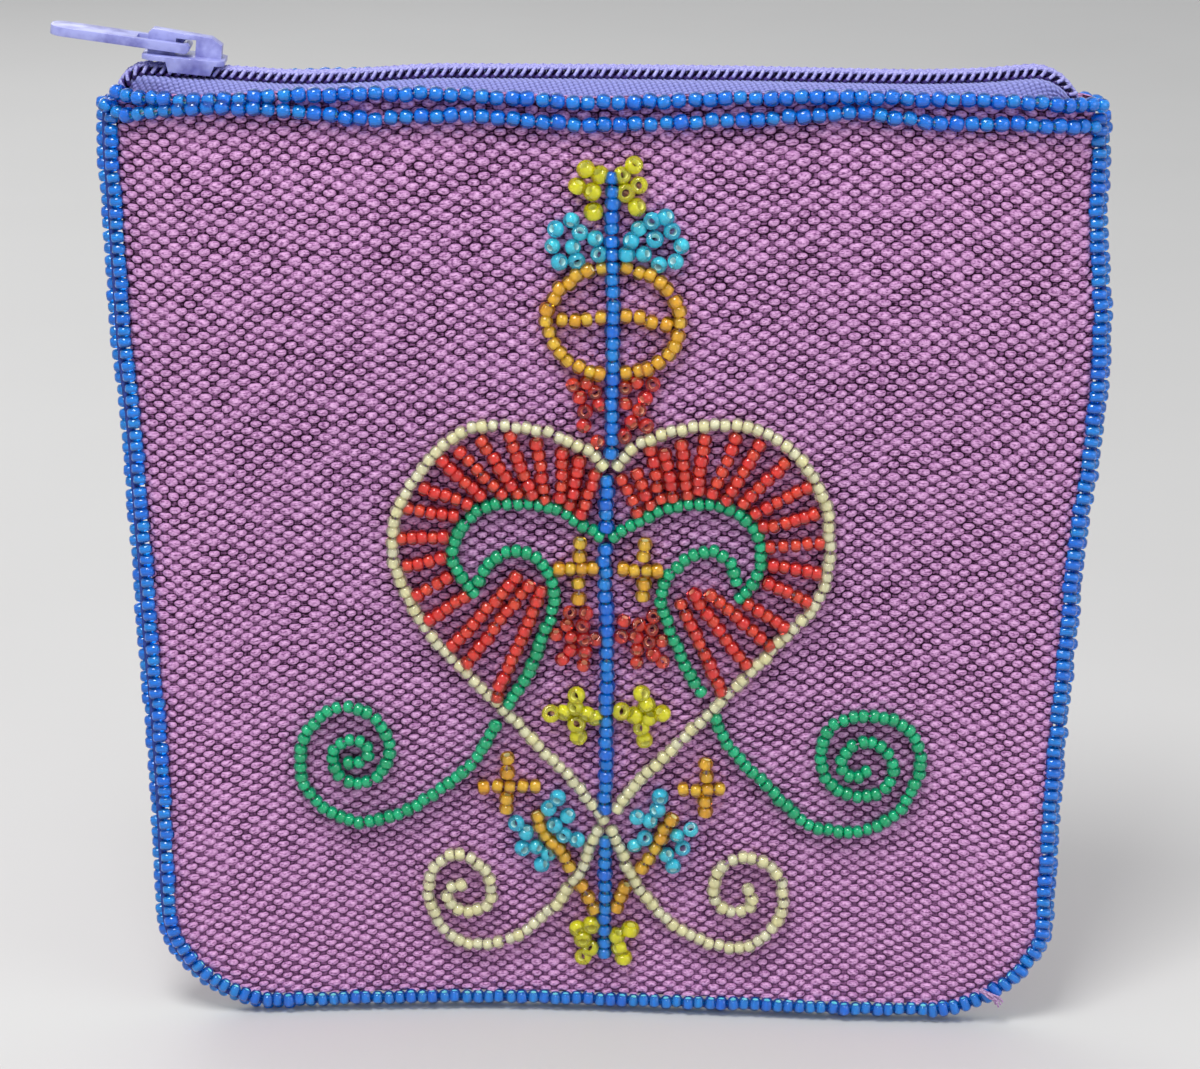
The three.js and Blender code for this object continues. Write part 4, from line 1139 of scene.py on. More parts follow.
# %% Motif lines
SPINE = [
    [(0.3, 109.6), (0.5, 100.3), (0.6, 92), (0.7, 76.2)],
    [(0.2, 72.6), (0.1, 66.9)],
    [(0, 63.9), (0.5, 41.5), (0.4, 29)],
    [(0.5, 24.3), (0.6, 8.2)],
]
HEART_LEFT = [
    (-0.3, 74.6), (-2.2, 76.5), (-4.7, 77.6), (-7.2, 78.7), (-11, 79.3), (-16.2, 79.1), (-18.5, 77.8),
    (-20.6, 76), (-22.1, 73.8), (-23.9, 71.3), (-25.2, 68.6), (-25.8, 64.9), (-25.6, 61.5), (-23.9, 56.9),
    (-20.8, 51.6), (-16.7, 47), (-11.6, 41.7), (-8, 37.4), (-3.7, 32.8), (-1.7, 30), (0.3, 27.2),
]
TAIL_RIGHT = [
    (1.3, 25.7), (2.7, 22.3), (3.7, 19.6), (6.1, 15.9), (8.5, 13.1), (11.1, 11.2), (14.2, 9.9), (16.4, 9.4),
    (19.2, 9.9), (21.6, 11.9), (22.8, 14.2), (23.1, 17.1), (22.5, 19.5), (20.5, 21.5), (17.7, 22.1),
    (15.4, 20.9), (14.4, 18.2), (14.9, 15.6), (17, 14.4), (19.3, 15.6), (18.6, 17.6),
]
HEART_RIGHT = [
    (1.5, 74.6), (3.2, 76.8), (5.9, 78.2), (10.3, 79.5), (15.6, 79.8), (18.6, 79.1), (21.1, 77.7),
    (23.3, 75.8), (24.9, 73.7), (26.1, 71.4), (27, 68.6), (27.4, 65.1), (27.4, 62), (26.8, 58.9),
    (25.5, 56.3), (21.9, 52.1), (18.1, 47.7), (14, 43), (9, 37.6), (4.6, 32.6), (1.9, 28.9),
]
TAIL_LEFT = [
    (-0.4, 25.6), (-1.5, 22.8), (-2.5, 19.9), (-3.8, 17.9), (-5.3, 15.4), (-7.6, 13), (-10.2, 10.7),
    (-12.6, 9.6), (-14.8, 9.2), (-17.3, 9.5), (-19.6, 11.1), (-21.1, 13.7), (-21.8, 16.6), (-21.3, 19.5),
    (-19.8, 21.5), (-18.2, 22.1), (-15.9, 21.2), (-14.1, 18.5), (-14, 15.5), (-16, 13.9), (-18.6, 14.5),
    (-19.4, 16.8), (-17.6, 17.8),
]
ARCH_LEFT = [
    (-0.6, 65.5), (-3.8, 67.7), (-6.2, 69), (-8.6, 69.6), (-12, 69.6), (-14.4, 69.2), (-16.5, 67.6),
    (-18, 65.2), (-18.5, 62.8), (-18.1, 61), (-16.9, 59.2), (-15.9, 57.9),
]
ARCH_RIGHT = [
    (1, 65.5), (3, 66.9), (5.3, 68.2), (7.6, 69.3), (10.6, 69.8), (12.8, 69.9), (15.4, 69.1), (17.5, 67.4),
    (18.8, 64.8), (19.1, 62.3), (18.4, 59.8), (16.6, 57.6),
]
HOOK_LEFT = [
    (-15.2, 59.6), (-14.7, 61), (-13.5, 62.4), (-12.2, 63.3), (-10.5, 63.5), (-8.4, 62.7), (-6.8, 60.7),
    (-6, 58.1), (-6.4, 55.3), (-7.4, 52.6), (-8.2, 50), (-9.2, 47.4), (-10.7, 44.8), (-11.7, 43.0),
]
HOOK_RIGHT = [
    (16.1, 59.8), (15.5, 62), (14.2, 63.3), (12.8, 63.9), (11.2, 63.4), (8.9, 61.8), (7.4, 59.6), (7, 57.6),
    (7.9, 54.2), (8.9, 51.4), (10.6, 47.6), (12, 45.2),
]
CURL_LEFT = [
    (-13.3, 40.2), (-15.6, 35.8), (-17.5, 33.5), (-19.3, 31.9), (-21.4, 30.3), (-24.2, 28.4), (-26.4, 27.3),
    (-28.8, 26.6), (-31.7, 26.7), (-33.9, 27.7), (-36, 29.5), (-37.3, 31.8), (-37.7, 35), (-37.1, 38),
    (-35.4, 40.5), (-33.2, 42), (-30.9, 42.2), (-28.7, 41.2), (-27.1, 39.3), (-26.5, 37), (-26.9, 34.9),
    (-28.1, 32.8), (-30.4, 31.9), (-32.4, 32.6), (-33.6, 34.3), (-33.4, 36.6), (-31.9, 37.8), (-30.2, 37.6),
    (-29, 36.2), (-30, 35), (-31.5, 34.7),
]
CURL_RIGHT = [
    (14, 41.4), (15.3, 38.4), (17.9, 35.1), (20.6, 32.4), (23.6, 29), (26, 27), (28.7, 26.2), (31.4, 26),
    (35, 27.1), (37.8, 29.7), (39.2, 32.7), (39.7, 35.9), (38.9, 39), (36.7, 41.1), (33.8, 41.9),
    (30.9, 41.7), (28.8, 40.8), (27.7, 39), (27.2, 36.4), (28, 33.4), (30.2, 31.4), (33.2, 30.9),
    (35.6, 32.3), (36.4, 34.9), (35.2, 37.3), (32.6, 38.4), (30.3, 37), (29.8, 34.9), (31.3, 33.5),
    (33.1, 34.3),
]

STRINGS = {              # node: colour and lines
    "heart_beads_left": ("cream", [HEART_LEFT, TAIL_RIGHT]),
    "heart_beads_right": ("cream", [HEART_RIGHT]),
    "tail_beads_left": ("cream", [TAIL_LEFT]),
    "arch_beads_left": ("green", [ARCH_LEFT]),
    "arch_beads_right": ("green", [ARCH_RIGHT]),
    "hook_beads_left": ("green", [HOOK_LEFT]),
    "hook_beads_right": ("green", [HOOK_RIGHT]),
    "curl_beads_left": ("green", [CURL_LEFT]),
    "curl_beads_right": ("green", [CURL_RIGHT]),
}
for number, line in enumerate(SPINE, start=1):
    STRINGS[f"spine_beads_{number}"] = ("blue", [line])

for seed, (node, (colour, lines)) in enumerate(STRINGS.items(), start=40):
    string_beads(f"strung_{node}", colour, [cloth_route(line) for line in lines], [node], seed=seed)
print(sum(bead_counts), "beads with the heart and scrolls")

# %% [markdown]
# The ring at the top is a flat oval with a crossbar, worked out from its centre and its half
# sizes. Each small cross is given by its four ends, and its upright is broken at the bar.

# %% Ring and crosses
RING_CENTRE = (0.7, 92.4)
RING_HALF_WIDTH = 8.0
RING_HALF_HEIGHT = 6.5
RING_GAP = math.radians(11)
RING_POINTS = 40         # on half of the ring
RING_DRIFT = 0.22
RING_TILT = 16
CROSSBARS = {"left": [(-5.4, 92.5), (-0.9, 92.7)], "right": [(2.2, 93.2), (7, 92.2)]}
CROSS_PITCH = 1.5
CROSSES = {              # node: left end, right end, top and foot
    "amber_cross_beads_left": ((-5.5, 61.3), (-1.4, 61.3), (-3.1, 64.6), (-3.1, 57.5)),
    "amber_cross_beads_right": ((2.3, 61.2), (6.5, 61.2), (4.8, 64.7), (4.8, 57.7)),
    "low_cross_beads_left": ((-14.7, 31.7), (-8.3, 31.7), (-11.9, 35.6), (-11.9, 28.6)),
    "low_cross_beads_right": ((10.2, 31.6), (14.8, 31.6), (13, 35.2), (13, 28.6)),
}


def ring_half(hand):
    """Half of the ring, from beside the spine at the top to beside it at the foot."""
    turn = np.linspace(RING_GAP, math.pi - RING_GAP, RING_POINTS)
    return np.stack([RING_CENTRE[0] + hand * RING_HALF_WIDTH * np.sin(turn),
                     RING_CENTRE[1] + RING_HALF_HEIGHT * np.cos(turn)], -1)


for hand, part in ((-1, "left"), (1, "right")):
    string_beads(f"ring_{part}", "amber", [cloth_route(ring_half(hand)), cloth_route(CROSSBARS[part])],
                 [f"ring_beads_{part}"], seed=60 + hand, drift=RING_DRIFT, tilt=RING_TILT)
for seed, (node, (left, right, top, foot)) in enumerate(CROSSES.items(), start=65):
    above, below = ((end[0], (end[1] + left[1]) / 2) for end in (top, foot))
    lines = [left, right], [top, above], [below, foot]
    string_beads(f"strung_{node}", "amber", [cloth_route(line) for line in lines], [node],
                 pitch=CROSS_PITCH, seed=seed)
print(sum(bead_counts), "beads with the ring and crosses")

# %% [markdown]
# Red rays fill the heart, from just inside its cream line to the green scrolls. On the
# model they are ridges of the front panel, so they replace no node.

# %% Rays
RAY_TILT = 13
RAYS_LEFT = [            # outer end, inner end
    ((-1.2, 73.4), (-2.9, 68.4)), ((-3.2, 75.1), (-4.2, 69.6)), ((-5.3, 76.1), (-5.4, 70.5)),
    ((-8.3, 77.3), (-7.4, 70.2)), ((-11.6, 78), (-9, 70.8)), ((-15.1, 77.5), (-10.7, 70.9)),
    ((-17.7, 75.9), (-12.6, 70.8)), ((-19.8, 74.9), (-15.2, 70.6)), ((-22, 71.4), (-16.8, 69.5)),
    ((-23.9, 68.6), (-18.4, 68)), ((-24.7, 64.8), (-19.7, 65.3)), ((-24, 61.3), (-20, 62.5)),
    ((-22.8, 57.4), (-19.2, 59.9)), ((-21.3, 54.3), (-17.1, 57.5)), ((-18.6, 50.9), (-10.7, 60.1)),
    ((-16.8, 48.6), (-9.3, 59.1)), ((-13.2, 44.2), (-7.7, 58.2)),
]
RAYS_RIGHT = [
    ((1.9, 72.9), (3.9, 68.7)), ((3.8, 73.7), (5.4, 69.6)), ((5.4, 76.5), (6.6, 70.5)),
    ((7.2, 76.1), (8.2, 70.8)), ((9.1, 77.4), (9.9, 71)), ((11.8, 77.9), (11.2, 71.6)),
    ((15.6, 78.2), (13, 71.3)), ((18.4, 77.3), (14.7, 70.5)), ((21.6, 75.2), (16.8, 70)),
    ((24.5, 72.1), (18.2, 68.8)), ((25.4, 68.6), (19.4, 66.9)), ((26.2, 64.9), (20.3, 64.3)),
    ((26, 61.1), (20.7, 61.9)), ((24.6, 57.4), (20, 59.7)), ((22.2, 53.8), (17.7, 56.8)),
    ((20.3, 51.5), (12.9, 58.1)), ((17.6, 48.8), (10.9, 58)), ((14.7, 45.1), (9.5, 56.7)),
]
for seed, (part, rays) in enumerate((("left", RAYS_LEFT), ("right", RAYS_RIGHT)), start=71):
    string_beads(f"ray_beads_{part}", "red", [cloth_route(ray) for ray in rays], seed=seed,
                 tilt=RAY_TILT)
print(sum(bead_counts), "beads with the rays")

# %% [markdown]
# The buds, blossoms and flowers are small groups of single beads. Each lies its own way,
# some with the hole towards the viewer.

# %% Buds, blossoms and flowers
CLUSTERS = {             # node: colour and bead places
    "red_bud_beads_left": ("red", [
        (-4.1, 84.6), (-2.4, 84.9), (-3.2, 83.1), (-1.4, 83.7), (-0.9, 82.1), (-2.6, 81.3), (-2.7, 79.6),
        (-1, 77.6)]),
    "red_bud_beads_right": ("red", [
        (2.2, 84.3), (3.6, 85), (5.5, 84.8), (4.6, 83.1), (2.3, 82.3), (3.9, 81.5), (3, 80), (4.8, 79.6),
        (2.1, 78.3)]),
    "yellow_bud_beads_left": ("yellow", [
        (-2.8, 110.7), (-1.1, 110), (-3.8, 108.6), (-2, 108), (-1.8, 105.6)]),
    "yellow_bud_beads_right": ("yellow", [
        (2.9, 111.2), (1.5, 110), (3.5, 108.8), (1.9, 107.9), (3.3, 106.2)]),
    "turquoise_bud_beads_left": ("turquoise", [
        (-4.5, 104.6), (-6.3, 103.5), (-3.4, 103.1), (-1.6, 102.4), (-6.7, 101.5), (-4.2, 101.4),
        (-1.1, 100.5), (-5.8, 99.6), (-3.8, 99.7)]),
    "turquoise_bud_beads_right": ("turquoise", [
        (6.8, 105.1), (5.1, 104.6), (3.6, 103.7), (7.5, 103.4), (2.7, 102.2), (5.5, 102.4), (2.2, 100.6),
        (8.6, 101.7), (4.2, 100.6), (6, 99.4), (8, 99.8)]),
    "red_blossom_beads_left": ("red", [
        (-4.2, 55.5), (-2.2, 55.5), (-4.5, 53.9), (-2.6, 53.8), (-5.8, 52.6), (-4, 52.2), (-2.4, 52),
        (-0.9, 52), (-4, 50.6), (-2.3, 50.3), (-5, 49.3), (-2.4, 48.6)]),
    "red_blossom_beads_right": ("red", [
        (2.5, 54.6), (4.3, 54.1), (6.1, 55.2), (5.9, 53.4), (2.2, 52.5), (4, 52.4), (5.6, 51.8), (7.2, 52),
        (4.1, 50.7), (6.1, 50.2), (4.1, 49), (7.3, 49.2)]),
    "yellow_cross_beads_left": ("yellow", [
        (-3.3, 44.5), (-3.4, 42.8), (-6.4, 41.9), (-4.9, 42.1), (-2, 41.9), (-0.9, 41.4), (-3.2, 40.6),
        (-3, 38.8)]),
    "yellow_cross_beads_right": ("yellow", [
        (4.8, 44.8), (5.4, 43.2), (2.3, 42.3), (3.9, 41.9), (5.8, 41.5), (7.4, 42.1), (4.8, 40.1),
        (5.2, 38.4)]),
    "foot_bud_beads_left": ("yellow", [
        (-2.9, 11.6), (-1.1, 12.1), (-2.2, 10.2), (-1.2, 8.9), (-2.1, 7.7)]),
    "foot_bud_beads_right": ("yellow", [(2.2, 10.7), (3.9, 11.6), (2.4, 9.1), (3.1, 7.7)]),
}
STEMS = {
    "left": [[(-8.1, 27.5), (-7.6, 25.8), (-6.3, 23.9), (-4.8, 22.2), (-4, 20.6)],
             [(-2.4, 17.7), (-1.5, 16.2), (-0.8, 14.5)]],
    "right": [[(8.9, 27.4), (7.9, 25.7), (7.3, 24.2), (6.2, 22.2), (5.2, 20.5)],
              [(3.2, 17.6), (2.8, 16.4), (2.1, 14.9)]],
}
PETALS = {
    "left": [(-5.5, 30.2), (-6.6, 28.8), (-4.2, 27.7), (-5.9, 26.4), (-4.7, 25), (-3, 24.3), (-10.7, 26.6),
             (-9.4, 25.3), (-9.9, 23), (-8.2, 23.2), (-6.6, 22.3), (-7.5, 20.7)],
    "right": [(7.3, 30.5), (7, 28.8), (6.1, 27.1), (4.5, 27.6), (4.2, 23.6), (5.5, 24.7), (9.5, 25.1),
              (10.3, 23.3), (11.3, 26), (8.3, 22.4), (9.1, 20.7)],
}
for part in ("left", "right"):
    CLUSTERS[f"flower_beads_{part}"] = ("turquoise", PETALS[part])

for seed, (node, (colour, places)) in enumerate(CLUSTERS.items(), start=80):
    x, z = np.array(places, float).T
    scatter_beads(f"sewn_{node}", colour, on_cloth(x, z, FRONT, BEAD_LIFT), [node], seed=seed)
for seed, (part, lines) in enumerate(STEMS.items(), start=95):
    string_beads(f"flower_stem_{part}", "amber", [cloth_route(line) for line in lines],
                 [f"flower_beads_{part}"], seed=seed)
print(sum(bead_counts), "beads in all")

# %% [markdown]
# ## Zip tapes
# The zip's two tapes are warp-knitted: fine ribs run across them, each a column of small
# loops. They start under the coil, fall to the hem, and are sewn inside the canvas. As
# with the canvas, the knit is in the mesh.

# %% Zip line
ZIP_RISE = 0.9           # of the coil's middle over the canvas
COIL_OUTER = 1.85        # from the middle of the zip to the outside of a coil
ZIP_WAVE = [(-58, 0.1), (-52, -0.2), (-46, -0.4), (-38, -0.9), (-30, -0.6), (-22, 0.1), (0, 0.25), (16, 0.25),
            (25, 0.15), (36, 0.05), (44, 0.3), (48, 0.65), (51, 1.05), (56, 1.1)]
COIL_ENDS = {-1: (-55.2, 3.0), 1: (50.0, 5.8)}   # where an end starts to curl down, and its radius
CURL_ANGLE = math.radians(80)
zip_height = CANVAS_TOP + ZIP_RISE


def zip_line(x):
    """Height of the zip, which isn't sewn quite level."""
    return zip_height + smooth_list(ZIP_WAVE, x, reach=3.0)


def curl_drop(x):
    """How far an end of the zip has curled down at a place along it."""
    drop = np.zeros_like(x)
    for hand, (start, radius) in COIL_ENDS.items():
        past = np.clip(hand * (x - start), 0, radius * math.sin(CURL_ANGLE))
        drop += radius - np.sqrt(radius**2 - past**2)
    return drop


print("zip line at", round(float(zip_height), 1), "mm")

# %% [markdown]
# The tape's yarn is dyed lavender blue, and little light gets into the grooves between its
# ribs. A flat picture of knit would show at once from the side. So the colour follows the
# height of the knit, which the mesh keeps for each vertex, and only the fibres are noise.

# %% Tape material
TAPE_SHADES = {"groove": (0.03, 0.03, 0.17), "yarn": (0.17, 0.19, 0.52), "light_yarn": (0.36, 0.37, 0.78)}
UNDERSIDE_SHADE = 0.6    # the height of knit that the plain underside is coloured as


def tape_material():
    """Lavender-blue knit, dark between its ribs."""
    material, tree, shader = new_material("lavender_tape", Roughness=0.75, Sheen_Weight=0.15)
    where = add_node(tree, "ShaderNodeTexCoord").outputs
    knit = add_node(tree, "ShaderNodeAttribute", attribute_name="weave").outputs["Fac"]
    fibre = place_group(tree, FIBRE, where["UV"], Fineness=4.0, Stretch=(2.0, 0.6, 1.0))
    yarn = blend_colours(tree, fibre["Shade"], TAPE_SHADES["yarn"], TAPE_SHADES["light_yarn"])
    colour = blend_colours(tree, spread(tree, knit, 0.1, 0.75), TAPE_SHADES["groove"], yarn)
    link_look(tree, shader, colour, fibre["Height"], 0.3, 0.1)
    return material


LAVENDER_TAPE = tape_material()
print("material", LAVENDER_TAPE.name)

# %% [markdown]
# A tape runs level beside the coil, turns down to the hem and goes on inside the canvas. One
# profile swept along a curve couldn't follow both the zip and the hem, which wave each in its
# own way. So the section is worked out anew at each step, rounded, and raised into ribs.

# %% Tape section
TAPE = 0.4
TAPE_DROP = 0.65         # from the coil's middle to the tape
TAPE_LAP = 0.4           # of the coil over the tape's edge
TAPE_FLAT = 3.3
TAPE_SEWN = 4.0          # how far the tape goes down inside the canvas
TAPE_INSIDE = 0.5        # from the canvas's inner face to the middle of the tape
TAPE_ENDS = (-57.4, 55.4)
TAPE_OVER_HEM = 0.3      # the least height of the tape over the hem
COIL_TO_HEM = 0.4        # the least way across from the coil to the hem
FLAT_TO_HEM = 0.1
TAPE_ROUNDING = 6        # rounds of smoothing
HEM_DROP = 0.6
KNIT_RIB = 0.66
KNIT_LOOP = 0.42
KNIT_LEAN = 0.25
KNIT_DEPTH = 0.3
STEPS_PER_RIB = 4
TAPE_STEPS = (12, 20, 3)  # over the flat part, down to the hem, and inside the canvas


def tape_reach(x, z):
    """How far from the middle of the zip the tape lies inside the canvas."""
    return SEAM_HALF + swell(x, z) - CLOTH - TAPE_INSIDE


def tape_section(x):
    """Points across the tape, from the coil to its sewn edge, for each place along it."""
    hem_height = canvas_top(x) - HEM_DROP
    hem, sewn = tape_reach(x, hem_height), tape_reach(x, hem_height - TAPE_SEWN)
    top = np.maximum(zip_line(x) - curl_drop(x) - TAPE_DROP, hem_height + TAPE_OVER_HEM)
    near = np.minimum(COIL_OUTER - TAPE_LAP, hem - COIL_TO_HEM)
    flat = np.minimum(TAPE_FLAT, hem - FLAT_TO_HEM)
    y = np.stack([near, flat, hem, sewn], -1)
    z = np.stack([top, top, hem_height, hem_height - TAPE_SEWN], -1)
    parts = [np.linspace(k, k + 1, count, endpoint=False) for k, count in enumerate(TAPE_STEPS)]
    at = np.concatenate([*parts, [len(TAPE_STEPS)]])
    k = np.minimum(at.astype(int), len(TAPE_STEPS) - 1)
    t = at - k
    section = np.stack([line[:, k] * (1 - t) + line[:, k + 1] * t for line in (y, z)], -1)
    for _ in range(TAPE_ROUNDING):
        section[:, 1:-1] = (section[:, :-2] + 2 * section[:, 1:-1] + section[:, 2:]) / 4
    return section


def knit_height(u, v):
    """Ribs of small loops, 0 to 1, from rib and loop counts."""
    u = u - KNIT_LEAN * v
    across = u - np.floor(u)
    rib = np.sqrt(1 - (2 * across - 1) ** 2)
    loop = 0.5 + 0.5 * np.cos(2 * np.pi * (v + 0.3 * across + 0.5 * np.mod(np.floor(u), 2)))
    return rib * (0.45 + 0.55 * loop)


print("tape section of", sum(TAPE_STEPS) + 1, "points")

# %% Tape mesh
def grid_faces(index):
    """Faces of a grid of vertex numbers."""
    corners = np.stack([index[:-1, :-1], index[:-1, 1:], index[1:, 1:], index[1:, :-1]], -1)
    return corners.reshape(-1, 4).tolist()


def tape_mesh(name, side):
    """A closed strip with knitted ribs on its upper face."""
    length = TAPE_ENDS[1] - TAPE_ENDS[0]
    steps = round(length / KNIT_RIB * STEPS_PER_RIB)
    x = np.linspace(*TAPE_ENDS, steps)
    section = tape_section(x)
    gone = way_gone(section)
    tangent = unit(np.gradient(section, axis=1))
    outward = np.stack([-tangent[..., 1], tangent[..., 0]], -1)
    u = np.broadcast_to((x / KNIT_RIB)[:, None], gone.shape)
    v = gone / KNIT_LOOP
    knit = knit_height(u, v)
    faces_yz = [section + outward * (KNIT_DEPTH * (knit - 0.5)[..., None] + TAPE / 2),
                section - outward * TAPE / 2]
    layers = [np.stack([np.broadcast_to(x[:, None], gone.shape), SEAM_PLANE + side * yz[..., 0],
                        yz[..., 1]], -1).reshape(-1, 3) for yz in faces_yz]
    index = np.arange(gone.size).reshape(gone.shape)
    under = index + index.size
    rim = [*index[0, :-1], *index[:-1, -1], *index[-1, :0:-1], *index[:0:-1, 0]]
    rim_faces = [(rim[k - 1], rim[k], rim[k] + index.size, rim[k - 1] + index.size)
                 for k in range(len(rim))]
    mesh = new_mesh(name, np.concatenate(layers), grid_faces(index) + grid_faces(under) + rim_faces)
    turn_outwards(mesh, sharp_angle=70)
    store(mesh, "weave", np.concatenate([knit.ravel(), np.full(knit.size, UNDERSIDE_SHADE)]))
    threads = np.stack([u, v], -1).reshape(-1, 2)
    store_threads(mesh, np.concatenate([threads, threads]))
    mesh.materials.append(LAVENDER_TAPE)
    return mesh, float(gone[:, -1].mean()), length


for face, side in (("front", FRONT), ("back", BACK)):
    mesh, width, length = tape_mesh(f"tape_{face}", side)
    tape = add_piece(f"knitted_tape_{face}", mesh, [f"zip_tape_{face}"])
    print(tape.name, len(mesh.polygons), "faces,", round(width, 1), "mm wide")

# %% [markdown]
# ## Zip coil
# Each side of the zip is a spiral of nylon, pressed oval and sewn to the tape's edge. The
# spirals are wound half a turn apart, so their loops lie between each other. A spiral is
# a route like any other, so one tree sweeps a round section along it, and along the stitches
# of lavender thread that hold it down.

# %% Coil tree and material
NYLON_SHADES = (0.035, 0.020, 0.12), (0.09, 0.05, 0.24)


def sweep_tree():
    """A round strand along a route."""
    tree, given = new_group("strand", "GeometryNodeTree",
                            {"Geometry": "Geometry", "Radius": "Float", "Sides": "Int", "Finish": "Material"},
                            {"Geometry": "Geometry"})
    route = add_node(tree, "GeometryNodeMeshToCurve", {"Mesh": given["Geometry"]})
    strand = round_strand(tree, route.outputs[0], given["Radius"], given["Sides"])
    smooth = add_node(tree, "GeometryNodeSetShadeSmooth", {"Geometry": strand})
    real = add_node(tree, "GeometryNodeRealizeInstances", {"Geometry": smooth.outputs[0]})
    add_node(tree, "NodeGroupOutput", {"Geometry": finish_with(tree, real.outputs[0], given["Finish"])})
    return tree


def coil_material():
    """Dark violet nylon, a little glossy, scuffed lighter in places."""
    material, tree, shader = new_material("violet_nylon", Roughness=0.32, Coat_Weight=0.15)
    where = add_node(tree, "ShaderNodeTexCoord").outputs["Object"]
    scuff = spread(tree, noise(tree, where, 700.0), 0.4, 0.7)
    link_look(tree, shader, blend_colours(tree, scuff, *NYLON_SHADES))
    return material


SWEEP = sweep_tree()
NYLON = coil_material()
STITCH = thread_material("lavender_stitch", (0.22, 0.21, 0.52), (0.46, 0.45, 0.82))
print("tree", SWEEP.name)

# %% [markdown]
# The loops of the spirals lean along the zip. Two rows of two-ply thread run along the top of
# each, and a slanting stitch goes over the outside of every turn. Coils and stitches follow
# one line, which waves with the mouth and curls down at both ends, so they stay together.

# %% Line of the coil
COIL_PITCH = 1.05
COIL_STEPS = 14          # to a turn
CURL_POINTS = 20         # on the line of one curled end
LEVEL_POINTS = 200       # between the curled ends
COIL_LEAN = 0.7          # how far loops and stitches lean along the zip for each mm up


def coil_line():
    """The coil's middle line across and up, its upward direction, and its number of turns."""
    bend = np.linspace(0, CURL_ANGLE, CURL_POINTS)
    left, right = (start + hand * radius * np.sin(bend) for hand, (start, radius) in COIL_ENDS.items())
    x = np.concatenate([left[::-1], np.linspace(left[0], right[0], LEVEL_POINTS)[1:-1], right])
    line = np.stack([x, zip_line(x) - curl_drop(x)], -1)
    gone = way_gone(line)
    turns = round(gone[-1] / COIL_PITCH)
    at = np.linspace(0, gone[-1], turns * COIL_STEPS + 1)
    place = np.stack([np.interp(at, gone, line[:, k]) for k in (0, 1)], -1)
    along = unit(np.gradient(place, axis=0))
    return place, np.stack([-along[:, 1], along[:, 0]], -1), turns


def beside_coil(place, upward, side, out, lift):
    """Points beside the coil's line: out from the zip's middle, and up with a lean."""
    along = np.stack([upward[:, 1], -upward[:, 0]], -1)
    x, z = (place + np.reshape(lift, (-1, 1)) * (upward + COIL_LEAN * along)).T
    return np.stack([x, np.broadcast_to(SEAM_PLANE + side * out, len(x)), z], -1)


print(coil_line()[2], "turns of the coil")

# %% Coils and stitches
COIL_MIDDLE = 1.0        # from the middle of the zip to the middle of a spiral
COIL_HALF_WIDTH = 0.90
COIL_HALF_HEIGHT = 0.44
COIL_WIRE = 0.25
COIL_SIDES = 6
STITCH_ROWS = (0.25, 0.9)   # from the middle of the zip
STITCH_RISE = 0.64
STITCH_TWIST = 0.11
STITCH_RADIUS = 0.14
STITCH_SIDES = 5
OVER_STITCH = [(0.95, 0.72), (1.45, 0.64), (1.82, 0.42), (1.98, 0.16), (1.95, 0.0)]   # out and up
OVER_RADIUS = 0.22
OVER_SIDES = 6


def coil_route(side):
    """The oval spiral of one side."""
    place, upward, turns = coil_line()
    turn = np.linspace(0, 2 * np.pi * turns, len(place)) + (0 if side == FRONT else np.pi)
    return beside_coil(place, upward, side, COIL_MIDDLE - COIL_HALF_WIDTH * np.cos(turn),
                       -COIL_HALF_HEIGHT * np.sin(turn))


def crest_routes(side):
    """Rows of two-ply stitching along the top of the spiral, twisted once to a turn."""
    place, upward, turns = coil_line()
    turn = np.linspace(0, 2 * np.pi * turns, len(place))
    return [beside_coil(place, upward, side, row + STITCH_TWIST * np.cos(turn + ply),
                        STITCH_RISE + STITCH_TWIST * np.sin(turn + ply))[::2]
            for row in STITCH_ROWS for ply in (0, np.pi)]


def over_routes(side):
    """One slanting stitch over the outside of each turn of the spiral."""
    place, upward, turns = coil_line()
    out, lift = np.array(OVER_STITCH).T
    return [beside_coil(np.repeat(place[k:k + 1], len(out), 0), np.repeat(upward[k:k + 1], len(out), 0),
                        side, out, lift) for k in range(COIL_STEPS // 2, turns * COIL_STEPS, COIL_STEPS)]


def sweep(name, routes, radius, sides, finish):
    """Round strands along routes, as one mesh."""
    points, edges = join_routes(routes)
    return grow(name, points, edges, SWEEP, radius=radius * MM, sides=sides, finish=finish)


for face, side in (("front", FRONT), ("back", BACK)):
    for name, lines, radius, sides, finish in (
            ("nylon_coil", [coil_route(side)], COIL_WIRE, COIL_SIDES, NYLON),
            ("crest_stitches", crest_routes(side), STITCH_RADIUS, STITCH_SIDES, STITCH),
            ("over_stitches", over_routes(side), OVER_RADIUS, OVER_SIDES, STITCH)):
        mesh = sweep(f"{name}_{face}", lines, radius, sides, finish)
        add_piece(f"{name}_{face}", mesh, [f"zip_coil_{face}"])
        print(name, face, len(mesh.polygons), "faces")

# %% [markdown]
# ## Seam and loose yarn
# Between the two strings of the edging lies the sewn edge of the canvas. A strand along the
# seam stands for it, coloured deep blue as painted shade under the beads, and without it the
# light would show between the strings. At the right bottom corner some ends of yarn stick out,
# where the edging was finished off. They are short strands, swept by the same tree.

# %% Seam and loose yarn
SEAM_RADIUS = 0.55
SEAM_SIDES = 6
# The seam strand's deep blue is painted shade
SEAM_PAINTED_SHADE = thread_material("seam_shade", (0.006, 0.02, 0.16), (0.02, 0.06, 0.34))
seam_shade_routes = [(routes["front"][part] + routes["back"][part]) / 2 for part in routes["front"]]
add_piece("seam_edge", sweep("seam_edge", seam_shade_routes, SEAM_RADIUS, SEAM_SIDES, SEAM_PAINTED_SHADE))

